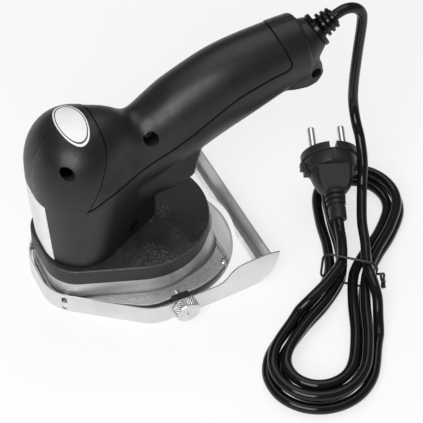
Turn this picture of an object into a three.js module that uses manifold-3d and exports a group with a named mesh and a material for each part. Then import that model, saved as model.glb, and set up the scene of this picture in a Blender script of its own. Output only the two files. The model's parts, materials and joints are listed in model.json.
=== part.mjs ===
// Electric kebab slicer: motor column with a dome head, arched handle, cast gear case,
// round blade, sheet-steel depth gauge and mains lead. Millimetres, +Z up.
// +X is the tail of the handle, -X the head. The blade turns about Z.
import * as THREE from 'three';
import { mergeVertices } from 'three/addons/utils/BufferGeometryUtils.js';
import Module from 'manifold-3d';

const wasm = await Module();
wasm.setup();

// Driving dimensions
const BLADE_R = 50;
const BLADE_T = 1.4;
const BLADE_Z = 0.8;
const BLADE_DISH = 2.6;
const GAP = 0.3;
const WALL = 2.6;
const MODULE = 1.25;
const GEAR_TEETH = 52;
const PINION_TEETH = 22;
const FLANGE_Z = 5.6;
const FLANGE_T = 3.2;
const CASE_FLOOR = 12.3;
const PLATE_Z = 24;
const PLATE_T = 11;
const HEAD_Z = 92;
const HEAD_RISE = 35;
const HEEL_HALF = 15;
const TRIGGER_TRAVEL = 2.4;
const BAND_H = 14;
const BAND_T = 0.8;
const GAUGE_UP = 4.7;
const GAUGE_DOWN = 2.3;
const STUD_X = -6;
const STUD_Z = 8.6;
const STUD_R = 2;
const KNOB_R = 7.8;
const KNOB_L = 6.5;
const BOOT_L = 14;
const BOOT_RIBS = 3;
const CORD_R = 3.2;
const CORD_PITCH = 7.6;
const ARCH_R = 12;
const HANK_LOW = 68;
const HANK_HIGH = 63;
const HANK_LOBE = 15;
const HANK_LEAN = 8;
const PIN_SPAN = 19;
const PIN_R = 2.4;

// Sizes that follow from them
const MOTOR_X = -MODULE * (GEAR_TEETH + PINION_TEETH) / 2;
const FLANGE_TOP = FLANGE_Z + FLANGE_T;
const FLANGE_REAR = 0.676 * BLADE_R;
const PLATE_TOP = PLATE_Z + PLATE_T;
const BODY_Z = PLATE_TOP + GAP;
const BAND_HALF = BLADE_R + 7.8;
const BAND_IN = BAND_HALF - BAND_T;
const SIDES = { left: -1, right: 1 };

// Materials of the real pieces: colour, roughness, metalness
const BLACK = [0x151516, 0.55, 0];
const STEEL = [0xc9cbcc, 0.25, 1];
const CAST = [0xa9abad, 0.5, 1];
const IRON = [0x5c5f63, 0.5, 1];
const COPPER = [0xb56a35, 0.4, 1];
const CARBON = [0x2c2c2e, 0.6, 0];
const RUBBER = [0x111112, 0.7, 0];
const NYLON = [0xd8d4c6, 0.5, 0];

const machine = new THREE.Group();

// Closed geometry to a solid facing out
function solid(geometry) {
  const g = geometry.clone();
  g.deleteAttribute('normal');
  g.deleteAttribute('uv');
  const m = mergeVertices(g, 1e-4);
  const vertProperties = new Float32Array(m.attributes.position.array);
  const at = (i) => new THREE.Vector3().fromArray(vertProperties, 3 * i);
  const corners = Array.from(m.index.array);
  const kept = [];
  let volume = 0;
  for (let i = 0; i < corners.length; i += 3) {
    const [a, b, c] = corners.slice(i, i + 3);
    if (a === b || b === c || a === c) continue;
    kept.push([a, b, c]);
    volume += at(a).dot(at(b).cross(at(c)));
  }
  const triVerts = new Uint32Array(kept.flatMap(([a, b, c]) => (volume < 0 ? [b, a, c] : [a, b, c])));
  return new wasm.Manifold(new wasm.Mesh({ numProp: 3, vertProperties, triVerts }));
}

function node(name, body, [color, roughness, metalness], parent = machine) {
  const mesh = body.getMesh();
  const g = new THREE.BufferGeometry();
  g.setAttribute('position', new THREE.BufferAttribute(new Float32Array(mesh.vertProperties), 3));
  g.setIndex(new THREE.BufferAttribute(new Uint32Array(mesh.triVerts), 1));
  g.computeVertexNormals();
  const out = new THREE.Mesh(g, new THREE.MeshStandardMaterial({ color, roughness, metalness }));
  out.name = name;
  parent.add(out);
}

// Group whose own Z axis points along a direction, with its Y axis level
function placed(at, along) {
  const level = new THREE.Vector3(-along.y, along.x, 0).normalize();
  const turn = new THREE.Matrix4().makeBasis(new THREE.Vector3().crossVectors(level, along), level, along);
  const out = new THREE.Group();
  out.position.copy(at);
  out.quaternion.setFromRotationMatrix(turn);
  machine.add(out);
  return out;
}

const mix = (a, b, t) => a + (b - a) * t;
const ease = (t) => THREE.MathUtils.smoothstep(t, 0, 1);
const radians = THREE.MathUtils.degToRad;
const pts = (list) => list.map(([x, y]) => new THREE.Vector2(x, y));
const grown = (discs, by) => discs.map(([x, y, r]) => [x, y, r + by]);
const flat = (points, z) => points.map((p) => new THREE.Vector3(p.x, p.y, z));

// Outline round a set of discs [x, y, r], one point for each direction
function hull(discs, count) {
  return Array.from({ length: count }, (_, i) => {
    const a = 2 * Math.PI * (i + 0.5) / count;
    const reach = (d) => d[0] * Math.cos(a) + d[1] * Math.sin(a) + d[2];
    const far = discs.reduce((best, d) => (reach(d) > reach(best) ? d : best));
    return new THREE.Vector2(far[0] + far[2] * Math.cos(a), far[1] + far[2] * Math.sin(a));
  });
}

function extruded(points, z0, z1, edge = 0) {
  return new THREE.ExtrudeGeometry(new THREE.Shape(points), {
    depth: z1 - z0 - 2 * edge, bevelEnabled: edge > 0, bevelThickness: edge, bevelSize: edge,
    bevelOffset: -edge, bevelSegments: 1, steps: 1,
  }).translate(0, 0, z0 + edge);
}

const prism = (points, z0, z1, edge = 0) => solid(extruded(points, z0, z1, edge));

// Prism of an outline drawn in side view (x, z), from y0 to y1
const sidePrism = (points, y0, y1, edge = 0) => solid(extruded(points, -y1, -y0, edge).rotateX(Math.PI / 2));

function boxShape(x0, x1, y0, y1, z0, z1) {
  const g = new THREE.BoxGeometry(x1 - x0, y1 - y0, z1 - z0);
  return g.translate((x0 + x1) / 2, (y0 + y1) / 2, (z0 + z1) / 2);
}

const box = (...ends) => solid(boxShape(...ends));

function rod(r, z0, z1, x = 0, y = 0, sides = 24, r1 = r) {
  const g = new THREE.CylinderGeometry(r1, r, z1 - z0, sides).rotateX(Math.PI / 2);
  return solid(g.translate(x, y, (z0 + z1) / 2));
}

// Round bar along Y at (x, z)
function crossRod(r, y0, y1, x, z, sides = 14) {
  return solid(new THREE.CylinderGeometry(r, r, y1 - y0, sides).translate(x, (y0 + y1) / 2, z));
}

// Round bar from a to b, radius ra to rb
function strut(a, b, ra, rb = ra, sides = 14) {
  const along = new THREE.Vector3().subVectors(b, a);
  const turn = new THREE.Quaternion();
  turn.setFromUnitVectors(new THREE.Vector3(0, 1, 0), along.clone().normalize());
  const g = new THREE.CylinderGeometry(rb, ra, along.length(), sides).applyQuaternion(turn);
  const mid = a.clone().add(b).multiplyScalar(0.5);
  return solid(g.translate(mid.x, mid.y, mid.z));
}

// Turned piece about Z: profile of [radius, z] pairs, closed on itself
function turned(profile, sides = 24) {
  return solid(new THREE.LatheGeometry(pts([...profile, profile[0]]), sides).rotateX(Math.PI / 2));
}

const ring = (r0, r1, z0, z1, x = 0, sides = 20) =>
  rod(r1, z0, z1, x, 0, sides).subtract(rod(r0, z0 - 1, z1 + 1, x, 0, sides));

// Skin through rings with the same number of points, closed at both ends
function loft(rings) {
  const n = rings[0].length;
  const middleOf = (r) => r.reduce((s, p) => s.add(p), new THREE.Vector3()).divideScalar(n);
  const points = [...rings.flat(), middleOf(rings[0]), middleOf(rings[rings.length - 1])];
  const first = rings.length * n;
  const last = first - n;
  const index = [];
  for (let j = 0; j < n; j++) {
    const k = (j + 1) % n;
    index.push(first, k, j, first + 1, last + j, last + k);
    for (let i = 0; i < last; i += n) {
      index.push(i + j, i + k, i + n + k, i + j, i + n + k, i + n + j);
    }
  }
  const g = new THREE.BufferGeometry().setFromPoints(points);
  g.setIndex(index);
  return solid(g);
}

// Motor column with its dome head: rings up the wall, pulled in by w
function columnRings(w, count) {
  const outline = (k, cos) => {
    const rear = [mix(-9, -27, k) - 8 * (1 - cos), 0, mix(10, 20, k) * cos - w];
    const front = [-1, 1].map((s) => [mix(-46.6, -47.2, k), s * 4.5 * cos, mix(22.8, 27.6, k) * cos - w]);
    return hull([rear, ...front], count);
  };
  const foot = BODY_Z - (w > 0 ? 1 : 0);
  const wall = [[foot, 0], [60, 0.03], [69, 0.2], [77, 0.75], [HEAD_Z - 6, 1]];
  const dome = [0, 24, 44, 62, 77].map((b) => {
    const a = radians(b);
    return flat(outline(1, Math.cos(a) ** 0.84), HEAD_Z + (HEAD_RISE - w) * Math.sin(a));
  });
  return [...wall.map(([z, k]) => flat(outline(k, 1), z)), ...dome];
}

// Arched handle: centre line in the middle plane, oval section that rounds off at the tail
const handleLine = new THREE.CatmullRomCurve3([
  [-36, 75], [-12, 89.5], [11, 102.6], [27, 111], [43, 118], [62, 124], [81, 128.6], [99, 131],
].map(([x, z]) => new THREE.Vector3(x, 0, z)));

// Rings along the handle, closer together at the tail
function handleRings(w, count, steps) {
  const rings = [];
  for (let i = 0; i <= steps; i++) {
    const t = 1 - (1 - i / steps) ** 1.3;
    const c = handleLine.getPoint(t);
    const d = handleLine.getTangent(t);
    const up = new THREE.Vector3(-d.z, 0, d.x);
    const tail = ease((t - 0.55) / 0.45);
    const end = Math.max(0, (t - 0.92) / 0.09);
    const round = mix(1, Math.sqrt(Math.max(0, 1 - end * end)), tail);
    const root = 4.5 * ease((0.36 - t) / 0.36);
    const h = (mix(26.5, 22, tail) - root) * round - w;
    const b = (mix(21.3, 18, tail) - root) * round - w;
    if (Math.min(h, b) < 2.5) break;
    rings.push(Array.from({ length: count }, (_, j) => {
      const a = 2 * Math.PI * j / count;
      return c.clone().addScaledVector(up, h * Math.sin(a)).setY(b * Math.cos(a));
    }));
  }
  return rings;
}

// Heel under the root of the handle, which holds the switch
const heel = sidePrism(pts([
  [-16, 55], [-5, 57], [16.5, 63.2], [22.5, 67], [25.2, 82], [28, 96], [-16, 96],
]), -HEEL_HALF, HEEL_HALF, 3);

// Cord nozzle and screw lug on the tail
const NOZZLE_UP = radians(30);
const nozzleDir = new THREE.Vector3(Math.cos(NOZZLE_UP), 0, Math.sin(NOZZLE_UP));
const nozzleEnd = new THREE.Vector3(103, 0, 137);
const nozzleAt = (s) => nozzleEnd.clone().addScaledVector(nozzleDir, s);
const lug = sidePrism(pts([
  [74, 110], [92, 100], [99, 99], [105, 101.5], [108, 107], [106, 115], [99, 128], [80, 128],
]), -8.5, 8.5, 2);

// Screws that hold the halves: [x, z, y of the head's seat]
const SCREWS = { head: [-61, 112.4, -13], foot: [-19, 43.2, -9], tail: [100.5, 110.5, -4] };
const COVER_SCREW = [-5.5, 106.5, -9.6];

const outer = loft(columnRings(0, 28)).add(loft(handleRings(0, 22, 13))).add(heel).add(lug)
  .add(strut(nozzleAt(-26), nozzleEnd, 15, 9.6, 18));
const hollow = loft(columnRings(WALL, 20)).add(loft(handleRings(WALL, 14, 8)));

// Bulkheads and brush deck that carry the motor, each with its bore
const FIELD = { r: 19, wall: 6.7, z0: 50, z1: 82 };
const FIELD_BORE = FIELD.r - FIELD.wall;
const COIL_H = 2.5;
const BEARING = { r: 8, bore: 3 };
const BRUSH = { z0: 87, z1: 94, half: 4, inner: 7.4, length: 9 };
const bulkheads = [[53, 56, FIELD.r], [75, 78, FIELD.r], [97.5, 103.5, BEARING.r]].map(([z0, z1, r]) =>
  box(-90, -22, -40, 40, z0, z1).subtract(rod(r + GAP, z0 - 1, z1 + 1, MOTOR_X, 0, 28)));
const brushReach = BRUSH.inner + BRUSH.length + GAP;
const brushDeck = box(-90, -22, -40, 40, BRUSH.z0 - 1, BRUSH.z1 + 1).subtract(rod(9, 85, 96, MOTOR_X))
  .subtract(box(MOTOR_X - BRUSH.half - GAP, MOTOR_X + BRUSH.half + GAP, -brushReach, brushReach,
    BRUSH.z0 - GAP, BRUSH.z1 + GAP));
const bosses = Object.values(SCREWS).map(([x, z]) => crossRod(5, -40, 40, x, z));
const cavity = [...bulkheads, brushDeck, ...bosses].reduce((room, wall) => room.subtract(wall), hollow);

// Pocket for the switch, and the bore for the lead
const SWITCH = { x0: 2, x1: 18, half: 6.5, z0: 66.5, z1: 80 };
const TRIGGER = { x0: SWITCH.x1 + 0.6, x1: 28.6, half: 5.5, z0: 69, z1: 79 };
const pocket = box(SWITCH.x0 - GAP, SWITCH.x1 + GAP, -SWITCH.half - GAP, SWITCH.half + GAP,
  SWITCH.z0 - GAP, SWITCH.z1 + GAP)
  .add(box(SWITCH.x1, 40, -TRIGGER.half - GAP, TRIGGER.half + GAP, TRIGGER.z0 - GAP, TRIGGER.z1 + GAP));
const leadBore = strut(nozzleAt(-24), nozzleAt(4), CORD_R + 2);

// Outline moved out by a distance, corner by corner
function widened(list, by) {
  return list.map((p, i) => {
    const a = list[(i + list.length - 1) % list.length];
    const b = list[(i + 1) % list.length];
    const u = new THREE.Vector2(p[0] - a[0], p[1] - a[1]).normalize();
    const v = new THREE.Vector2(b[0] - p[0], b[1] - p[1]).normalize();
    const k = by / (1 + u.dot(v));
    return [p[0] + (u.y + v.y) * k, p[1] - (u.x + v.x) * k];
  });
}

// Upper handle cover, bounded by the seam seen from the side, screwed to a tongue
const SEAM = [
  [-36.5, 135], [-36.2, 118], [-40.5, 109.5], [-52.5, 86.8], [-40, 91.5], [-20, 88.5], [-4, 96.1],
  [20, 110.9], [43, 125], [64, 132.3], [75.5, 135.3], [70, 165], [-25, 165],
];
const coverZone = sidePrism(pts(SEAM), -60, 60);
const motorRoom = box(-90, -36, -22, 22, 80, 106);
const coverCut = sidePrism(pts(widened(SEAM, GAP)), -60, 60).subtract(motorRoom);
const [tongueX, tongueZ] = COVER_SCREW;
const tongue = box(tongueX - 4, tongueX + 4, -6, 6, 80, tongueZ)
  .add(box(tongueX - 4, tongueX + 4, -12, 12, 62, 86)).add(crossRod(3.6, -6, 6, tongueX, tongueZ));

function screwHole([x, z, seat]) {
  return crossRod(3.6, -60, seat, x, z).add(crossRod(1.9, -60, 13, x, z, 10));
}

function screw([x, z, seat]) {
  return crossRod(3.1, seat - 2.6, seat - 0.1, x, z, 12).add(crossRod(1.6, seat - 1, 10, x, z, 8))
    .subtract(box(x - 0.5, x + 0.5, seat - 4, seat - 1.5, z - 2, z + 2));
}

let shell = outer.subtract(cavity).subtract(pocket).subtract(leadBore).subtract(coverCut).add(tongue);
for (const at of [...Object.values(SCREWS), COVER_SCREW]) shell = shell.subtract(screwHole(at));
node('housing_left', shell.intersect(box(-120, 160, -60, -GAP / 2, 0, 200)), BLACK);
node('housing_right', shell.intersect(box(-120, 160, GAP / 2, 60, 0, 200)), BLACK);
node('handle_cover', outer.subtract(hollow).intersect(coverZone).subtract(screwHole(COVER_SCREW)), BLACK);
for (const [name, at] of Object.entries(SCREWS)) node('screw_' + name, screw(at), STEEL);
node('screw_cover', screw(COVER_SCREW), STEEL);

// Switch in the heel with its trigger, pressed by the index finger
const stemEnd = SWITCH.x1 - 0.6;
node('switch_body', box(SWITCH.x0, SWITCH.x1, -SWITCH.half, SWITCH.half, SWITCH.z0, SWITCH.z1)
  .subtract(box(stemEnd - TRIGGER_TRAVEL - 0.4, 30, -3.2, 3.2, 71, 77)), RUBBER);
const triggerFace = [
  [TRIGGER.x0 + TRIGGER_TRAVEL, TRIGGER.z0], [TRIGGER.x1 - 3, TRIGGER.z0], [TRIGGER.x1, TRIGGER.z0 + 3],
  [TRIGGER.x1, TRIGGER.z1 - 2], [TRIGGER.x1 - 2, TRIGGER.z1], [TRIGGER.x0 + TRIGGER_TRAVEL, TRIGGER.z1],
];
node('switch_trigger', sidePrism(pts(triggerFace), -TRIGGER.half, TRIGGER.half)
  .add(box(stemEnd, TRIGGER.x0 + TRIGGER_TRAVEL + 1, -2.8, 2.8, 71.4, 76.6)), NYLON);

// Nose of the machine under the motor: the gauge bends round it, the case and the plate stay inside
const NOSE = [MOTOR_X - 4.75, 7, 25.5];
const noseDiscs = (r) => [1, -1].map((s) => [NOSE[0] - 1, s * (NOSE[1] + 2), r]);

// Black gear cover plate under the column
const PLATE = [[-10.5, 0, BLADE_R - 6], ...noseDiscs(NOSE[2] - 3.9)];
const SPINDLE_R = 5;
const SPINDLE_BEARING = 9;
node('base_plate', prism(hull(PLATE, 48), PLATE_Z, PLATE_TOP, 0.9)
  .subtract(rod(BEARING.r + GAP, PLATE_TOP - 7, 60, MOTOR_X)).subtract(rod(4.4, 0, 60, MOTOR_X))
  .subtract(rod(SPINDLE_BEARING + GAP, 0, PLATE_Z + 7.2)), BLACK);

// Cast gear case: cup for the gears, spreading skirt and blade cover flange with a raised rim
const FLANGE = [
  [0, 0, BLADE_R + 0.3], [-18, BLADE_R - 24, 24.6], [-18, 24 - BLADE_R, 24.6], ...noseDiscs(NOSE[2] - 4.1),
];
const RIM = { up: 0.7, wide: 1.6 };
const caseTop = PLATE_Z - GAP;
const skirt = (k) => hull([...grown(PLATE, -1.5), ...grown(FLANGE.slice(0, 3), -k)], 48);
const gearRoom = hull([
  [0, 0, MODULE * (GEAR_TEETH / 2 + 1) + 1], [MOTOR_X, 0, MODULE * (PINION_TEETH / 2 + 1) + 1],
], 36);
let gearCase = prism(hull(FLANGE, 48), FLANGE_Z, FLANGE_TOP + RIM.up)
  .subtract(prism(hull(grown(FLANGE, -RIM.wide), 48), FLANGE_TOP, 40))
  .add(loft([[FLANGE_Z + 1, 3], [11, 4.2], [14, 7.5], [17.5, 14], [caseTop, 14]]
    .map(([z, k]) => flat(skirt(k), z))))
  .subtract(box(FLANGE_REAR, 2 * BLADE_R, -80, 80, 0, 30)).subtract(prism(gearRoom, CASE_FLOOR, 40));

// Guide pins at the nose of the gauge, and guard pins at the rear of the flange
const PIN_Z = FLANGE_Z + 2.2;
const GUIDE_R = 1.5;
const noseTurn = (s) => s * radians(135);
const noseAt = (s) => (r) => new THREE.Vector3(
  NOSE[0] + r * Math.cos(noseTurn(s)), s * NOSE[1] + r * Math.sin(noseTurn(s)), PIN_Z);
const guardX = FLANGE_REAR - 3.8;
const guardY = Math.sqrt((BLADE_R - 1.3) ** 2 - guardX ** 2);
for (const s of Object.values(SIDES)) {
  const inward = [s * (BLADE_R - 6), s * (BAND_IN - 0.4)].sort((a, b) => a - b);
  const stud = [s * (BLADE_R - 4), s * 2 * BLADE_R].sort((a, b) => a - b);
  const at = noseAt(s);
  const boss = strut(at(12), at(NOSE[2] - BAND_T - 0.5), 3.6)
    .subtract(box(-90, 0, -60, 60, 0, FLANGE_Z + 0.15));
  gearCase = gearCase.add(box(STUD_X - 5.5, STUD_X + 5.5, ...inward, FLANGE_Z + 0.2, STUD_Z + 4.2)).add(boss)
    .subtract(crossRod(STUD_R + GAP, ...stud, STUD_X, STUD_Z))
    .subtract(strut(at(14), at(40), GUIDE_R + GAP))
    .subtract(rod(1.8, 0, 20, guardX, s * guardY, 12));
}
node('gear_case', gearCase.subtract(rod(SPINDLE_BEARING + GAP, 0, CASE_FLOOR + 1)), CAST);
for (const [side, s] of Object.entries(SIDES)) {
  node('guard_pin_' + side, rod(1.5, FLANGE_Z + 0.4, FLANGE_TOP + 1.4, guardX, s * guardY, 12)
    .add(rod(2.2, FLANGE_TOP + 1, FLANGE_TOP + 1.8, guardX, s * guardY, 12, 1.4)), STEEL);
  const at = noseAt(s);
  node('guide_pin_' + side, strut(at(15), at(NOSE[2] - 0.1), GUIDE_R), STEEL);
}

// Motor, standing in the column
node('motor_shaft', rod(BEARING.bore, CASE_FLOOR + 0.9, 103, MOTOR_X, 0, 20), STEEL);
const fieldFlat = FIELD.r - 1.4;
node('motor_field', ring(FIELD_BORE, FIELD.r, FIELD.z0, FIELD.z1, MOTOR_X, 28)
  .subtract(box(MOTOR_X - 30, MOTOR_X - fieldFlat, -30, 30, 40, 90))
  .subtract(box(MOTOR_X + fieldFlat, MOTOR_X + 30, -30, 30, 40, 90)), IRON);
const coil = (z) => ring(FIELD_BORE + 1.2, FIELD.r - 2.5, z, z + COIL_H, MOTOR_X);
node('field_coil_lower', coil(FIELD.z0 - GAP - COIL_H), COPPER);
node('field_coil_upper', coil(FIELD.z1 + GAP), COPPER);
const SLOTS = 12;
let core = ring(BEARING.bore + GAP, FIELD_BORE - 0.6, FIELD.z0 + 0.5, FIELD.z1 - 0.5, MOTOR_X, 24);
for (let i = 0; i < SLOTS; i++) {
  const slot = boxShape(FIELD_BORE - 4.3, FIELD_BORE + 1.7, -0.9, 0.9, 40, 90);
  slot.rotateZ(2 * Math.PI * (i + 0.5) / SLOTS).translate(MOTOR_X, 0, 0);
  core = core.subtract(solid(slot));
}
node('armature_core', core, IRON);
node('commutator', ring(BEARING.bore + GAP, 7, BRUSH.z0 - 0.5, BRUSH.z1 + 0.5, MOTOR_X), COPPER);
for (const [side, s] of Object.entries(SIDES)) {
  const y0 = s < 0 ? -BRUSH.inner - BRUSH.length : BRUSH.inner;
  node('brush_' + side, box(MOTOR_X - BRUSH.half, MOTOR_X + BRUSH.half, y0, y0 + BRUSH.length,
    BRUSH.z0, BRUSH.z1), CARBON);
}
const VANES = 8;
const fanZ = PLATE_TOP + 3;
let fan = ring(BEARING.bore + GAP, 6, fanZ, fanZ + 7, MOTOR_X, 16)
  .add(ring(5.5, 17, fanZ, fanZ + 1.2, MOTOR_X, 24));
for (let i = 0; i < VANES; i++) {
  const vane = boxShape(5.5, 16.6, -0.6, 0.6, fanZ + 0.5, fanZ + 7).rotateZ(2 * Math.PI * i / VANES);
  fan = fan.add(solid(vane.translate(MOTOR_X, 0, 0)));
}
node('cooling_fan', fan, NYLON);
node('bearing_top', ring(BEARING.bore + GAP, BEARING.r, 97.8, 103.2, MOTOR_X), STEEL);
node('bearing_bottom', ring(BEARING.bore + GAP, BEARING.r, PLATE_TOP - 6.7, PLATE_TOP - 1, MOTOR_X), STEEL);

// Spur gears: teeth with sloping flanks, a little backlash at the pitch circle
function gearOutline(teeth, start, x) {
  const r = MODULE * teeth / 2;
  const pitch = 2 * Math.PI / teeth;
  const tooth = [[-0.33, -1.2], [-0.11, 0.95], [0.11, 0.95], [0.33, -1.2]];
  return Array.from({ length: teeth }, (_, i) => tooth.map(([turn, rise]) => {
    const a = start + pitch * (i + turn);
    const at = r + MODULE * rise;
    return new THREE.Vector2(x + at * Math.cos(a), at * Math.sin(a));
  })).flat();
}

const gearZ = CASE_FLOOR + 1.2;
const gearStart = Math.PI - Math.PI / GEAR_TEETH * (GEAR_TEETH % 2 ? 1 : 0);
node('blade_gear', prism(gearOutline(GEAR_TEETH, gearStart, 0), gearZ, gearZ + 7)
  .subtract(rod(SPINDLE_R + GAP, 0, 30, 0, 0, 20))
  .subtract(turned([[11, gearZ + 4.5], [25, gearZ + 4.5], [26, gearZ + 8], [10, gearZ + 8]])), STEEL);
node('motor_pinion', prism(gearOutline(PINION_TEETH, Math.PI / PINION_TEETH, MOTOR_X), gearZ, gearZ + 8)
  .subtract(rod(BEARING.bore + GAP, 0, 30, MOTOR_X, 0, 16)), STEEL);

// Blade on its spindle: dished disc with a bevelled edge, held by a low round nut
const hubZ = BLADE_Z + BLADE_DISH;
const hubTop = hubZ + BLADE_T;
node('blade', turned([
  [SPINDLE_R + GAP, hubZ], [19, hubZ], [27, BLADE_Z], [BLADE_R, BLADE_Z], [BLADE_R - 3.2, BLADE_Z + BLADE_T],
  [27.4, BLADE_Z + BLADE_T], [19.4, hubTop], [SPINDLE_R + GAP, hubTop],
], 64), STEEL);
node('spindle', turned([
  [0, BLADE_Z + 0.4], [SPINDLE_R, BLADE_Z + 0.4], [SPINDLE_R, hubTop + 0.2], [8, hubTop + 0.2],
  [8, hubTop + 1.1], [SPINDLE_R, hubTop + 1.1], [SPINDLE_R, PLATE_Z + 7], [0, PLATE_Z + 7],
], 20), STEEL);
node('blade_nut', ring(SPINDLE_R + GAP, 13, BLADE_Z + 0.3, hubZ - 0.2, 0, 24)
  .subtract(rod(1.5, 0, BLADE_Z + 1.4, 9, 0, 10)).subtract(rod(1.5, 0, BLADE_Z + 1.4, -9, 0, 10)), STEEL);
const spindleBearing = (z) => ring(SPINDLE_R + GAP, SPINDLE_BEARING, z, z + 5.8);
node('spindle_bearing_lower', spindleBearing(CASE_FLOOR - 6), STEEL);
node('spindle_bearing_upper', spindleBearing(PLATE_Z + 0.8), STEEL);

// Depth gauge: bent band with upswept side runners
const RUNNER_X = BLADE_R + 12;
const RUNNER_IN = 2.4;
function bandOutline(inset, end) {
  const discs = [-1, 1].flatMap((s) => [
    [NOSE[0], s * NOSE[1], NOSE[2] - inset], [-17, s * (BAND_HALF - 25.5), 25.5 - inset],
  ]);
  const nose = hull(discs, 60).filter((p) => p.x < -16.5);
  const half = (x) => BAND_HALF - inset - RUNNER_IN * Math.max(0, x - 10) / (RUNNER_X - 10);
  return pts([[end, half(end)], [10, half(10)]]).concat(nose, pts([[10, -half(10)], [end, -half(end)]]));
}

const fromEdge = (list) => new THREE.SplineCurve(pts(list.map(([x, z]) => [BLADE_R + x, z])));
const runnerTop = fromEdge([
  [-33, BAND_H], [-29, BAND_H + 1.5], [-24, BAND_H + 7], [-19, BAND_H + 9.8],
  [-10, BAND_H + 10.6], [2, BAND_H + 10.2], [8.5, BAND_H + 8.6],
]);
const runnerLow = fromEdge([[8.5, BAND_H + 8.6], [6.6, 13], [2, 5.4], [-4, 1.5], [-12, 0]]);
const gaugeSide = [
  new THREE.Vector2(-2 * BLADE_R, 0), ...runnerLow.getPoints(10).reverse(),
  ...runnerTop.getPoints(12).reverse().slice(1), new THREE.Vector2(-2 * BLADE_R, BAND_H),
];
let band = prism(bandOutline(0, RUNNER_X), -1, 40).subtract(prism(bandOutline(BAND_T, RUNNER_X + 5), -2, 41))
  .intersect(sidePrism(gaugeSide, -2 * BLADE_R, 2 * BLADE_R));

// Upright slot for a pin of radius r at height z, cut outward along a turn in plan
function slot(r, z, x, y, turn, reach) {
  const outline = hull([[0, z - GAUGE_UP, r + GAP], [0, z + GAUGE_DOWN, r + GAP]], 12);
  const g = extruded(outline, 0, reach).rotateX(Math.PI / 2).rotateZ(turn + Math.PI / 2);
  return solid(g.translate(x, y, 0));
}

for (const s of Object.values(SIDES)) {
  const at = noseAt(s)(18);
  band = band.subtract(slot(GUIDE_R, PIN_Z, at.x, at.y, noseTurn(s), 14))
    .subtract(slot(STUD_R, STUD_Z, STUD_X, s * (BAND_IN - 3), s * Math.PI / 2, 8));
}
node('gauge_band', band, STEEL);

// Gauge bar across the runners: a hollow strip, scooped out round the blade
const barLine = fromEdge([[-1.4, 4.4], [1.2, 5], [3.4, 7.2], [4.9, 10.8], [5.8, 15]]);
const barTop = barLine.getPoints(8);
const barLow = barTop.map((p, i) => {
  const t = barLine.getTangent(i / 8);
  return new THREE.Vector2(p.x + t.y, p.y - t.x);
});
node('gauge_bar', sidePrism([...barLow, ...barTop.reverse()], -2 * BLADE_R, 2 * BLADE_R)
  .intersect(prism(bandOutline(BAND_T + GAP, RUNNER_X), -2, 40))
  .subtract(rod(BLADE_R + 2, -5, 30, 0, 0, 80)), STEEL);

// Knurled thumb knobs that clamp the gauge
const KNURLS = 18;
const knurl = Array.from({ length: 2 * KNURLS }, (_, i) => {
  const r = i % 2 ? KNOB_R : KNOB_R - 0.45;
  return new THREE.Vector2(r * Math.cos(Math.PI * i / KNURLS), r * Math.sin(Math.PI * i / KNURLS));
});
for (const [side, s] of Object.entries(SIDES)) {
  const at = placed(new THREE.Vector3(STUD_X, s * (BAND_HALF + GAP), STUD_Z), new THREE.Vector3(0, s, 0));
  node('thumb_knob_' + side, prism(knurl, 0, KNOB_L, 0.5).subtract(rod(1.2, KNOB_L - 0.9, 20, 0, 0, 12))
    .add(rod(STUD_R, -11, 2, 0, 0, 16)), STEEL, at);
}

// Strain relief boot on the nozzle: flange, ribs and a taper
const bootProfile = [
  [CORD_R + GAP, -8], [CORD_R + 1.6, -8], [CORD_R + 1.6, GAP], [9.6, GAP], [9.6, 2.6], [5.8, 2.8],
];
const ribStep = (BOOT_L - 4) / BOOT_RIBS;
for (let i = 0; i < BOOT_RIBS; i++) {
  const z = 4.2 + ribStep * i;
  const root = 5.2 - 0.2 * i;
  const r = 7.2 - 0.5 * i;
  bootProfile.push([root, z], [r, z + 0.12 * ribStep], [r, z + 0.5 * ribStep], [root, z + 0.62 * ribStep]);
}
bootProfile.push([CORD_R + 1.2, BOOT_L], [CORD_R + GAP, BOOT_L]);
node('strain_relief', turned(bootProfile, 14), RUBBER, placed(nozzleEnd, nozzleDir));

// Mains lead put away as a hank on the floor, its runs drawn in by a tie at the waist.
// Along the hank runs u, across it v.
const HANK_AT = new THREE.Vector3(94.6, -80.5, 0);
const HANK_TURN = radians(50);
const u = new THREE.Vector3(Math.cos(HANK_TURN), Math.sin(HANK_TURN), 0);
const v = new THREE.Vector3(-Math.sin(HANK_TURN), Math.cos(HANK_TURN), 0);
const lean = (a) => HANK_LEAN * (Math.hypot(a / HANK_LOW, 0.35) - 0.35);
const hankPoint = (a, b, z) => HANK_AT.clone().addScaledVector(u, a).addScaledVector(v, b + lean(a)).setZ(z);
const LAYER_Z = CORD_R + 1.6;
const LAYER_UP = CORD_PITCH - 0.3;
const MEAN = CORD_PITCH * 1.1 + HANK_LOBE;
const LEGS = [HANK_LOW, Math.PI * MEAN, HANK_LOW, HANK_HIGH, Math.PI * MEAN, HANK_HIGH];
const LEG_STEPS = [3, 6, 3, 3, 6, 3];
const LOOP = LEGS.reduce((a, b) => a + b);

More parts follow.
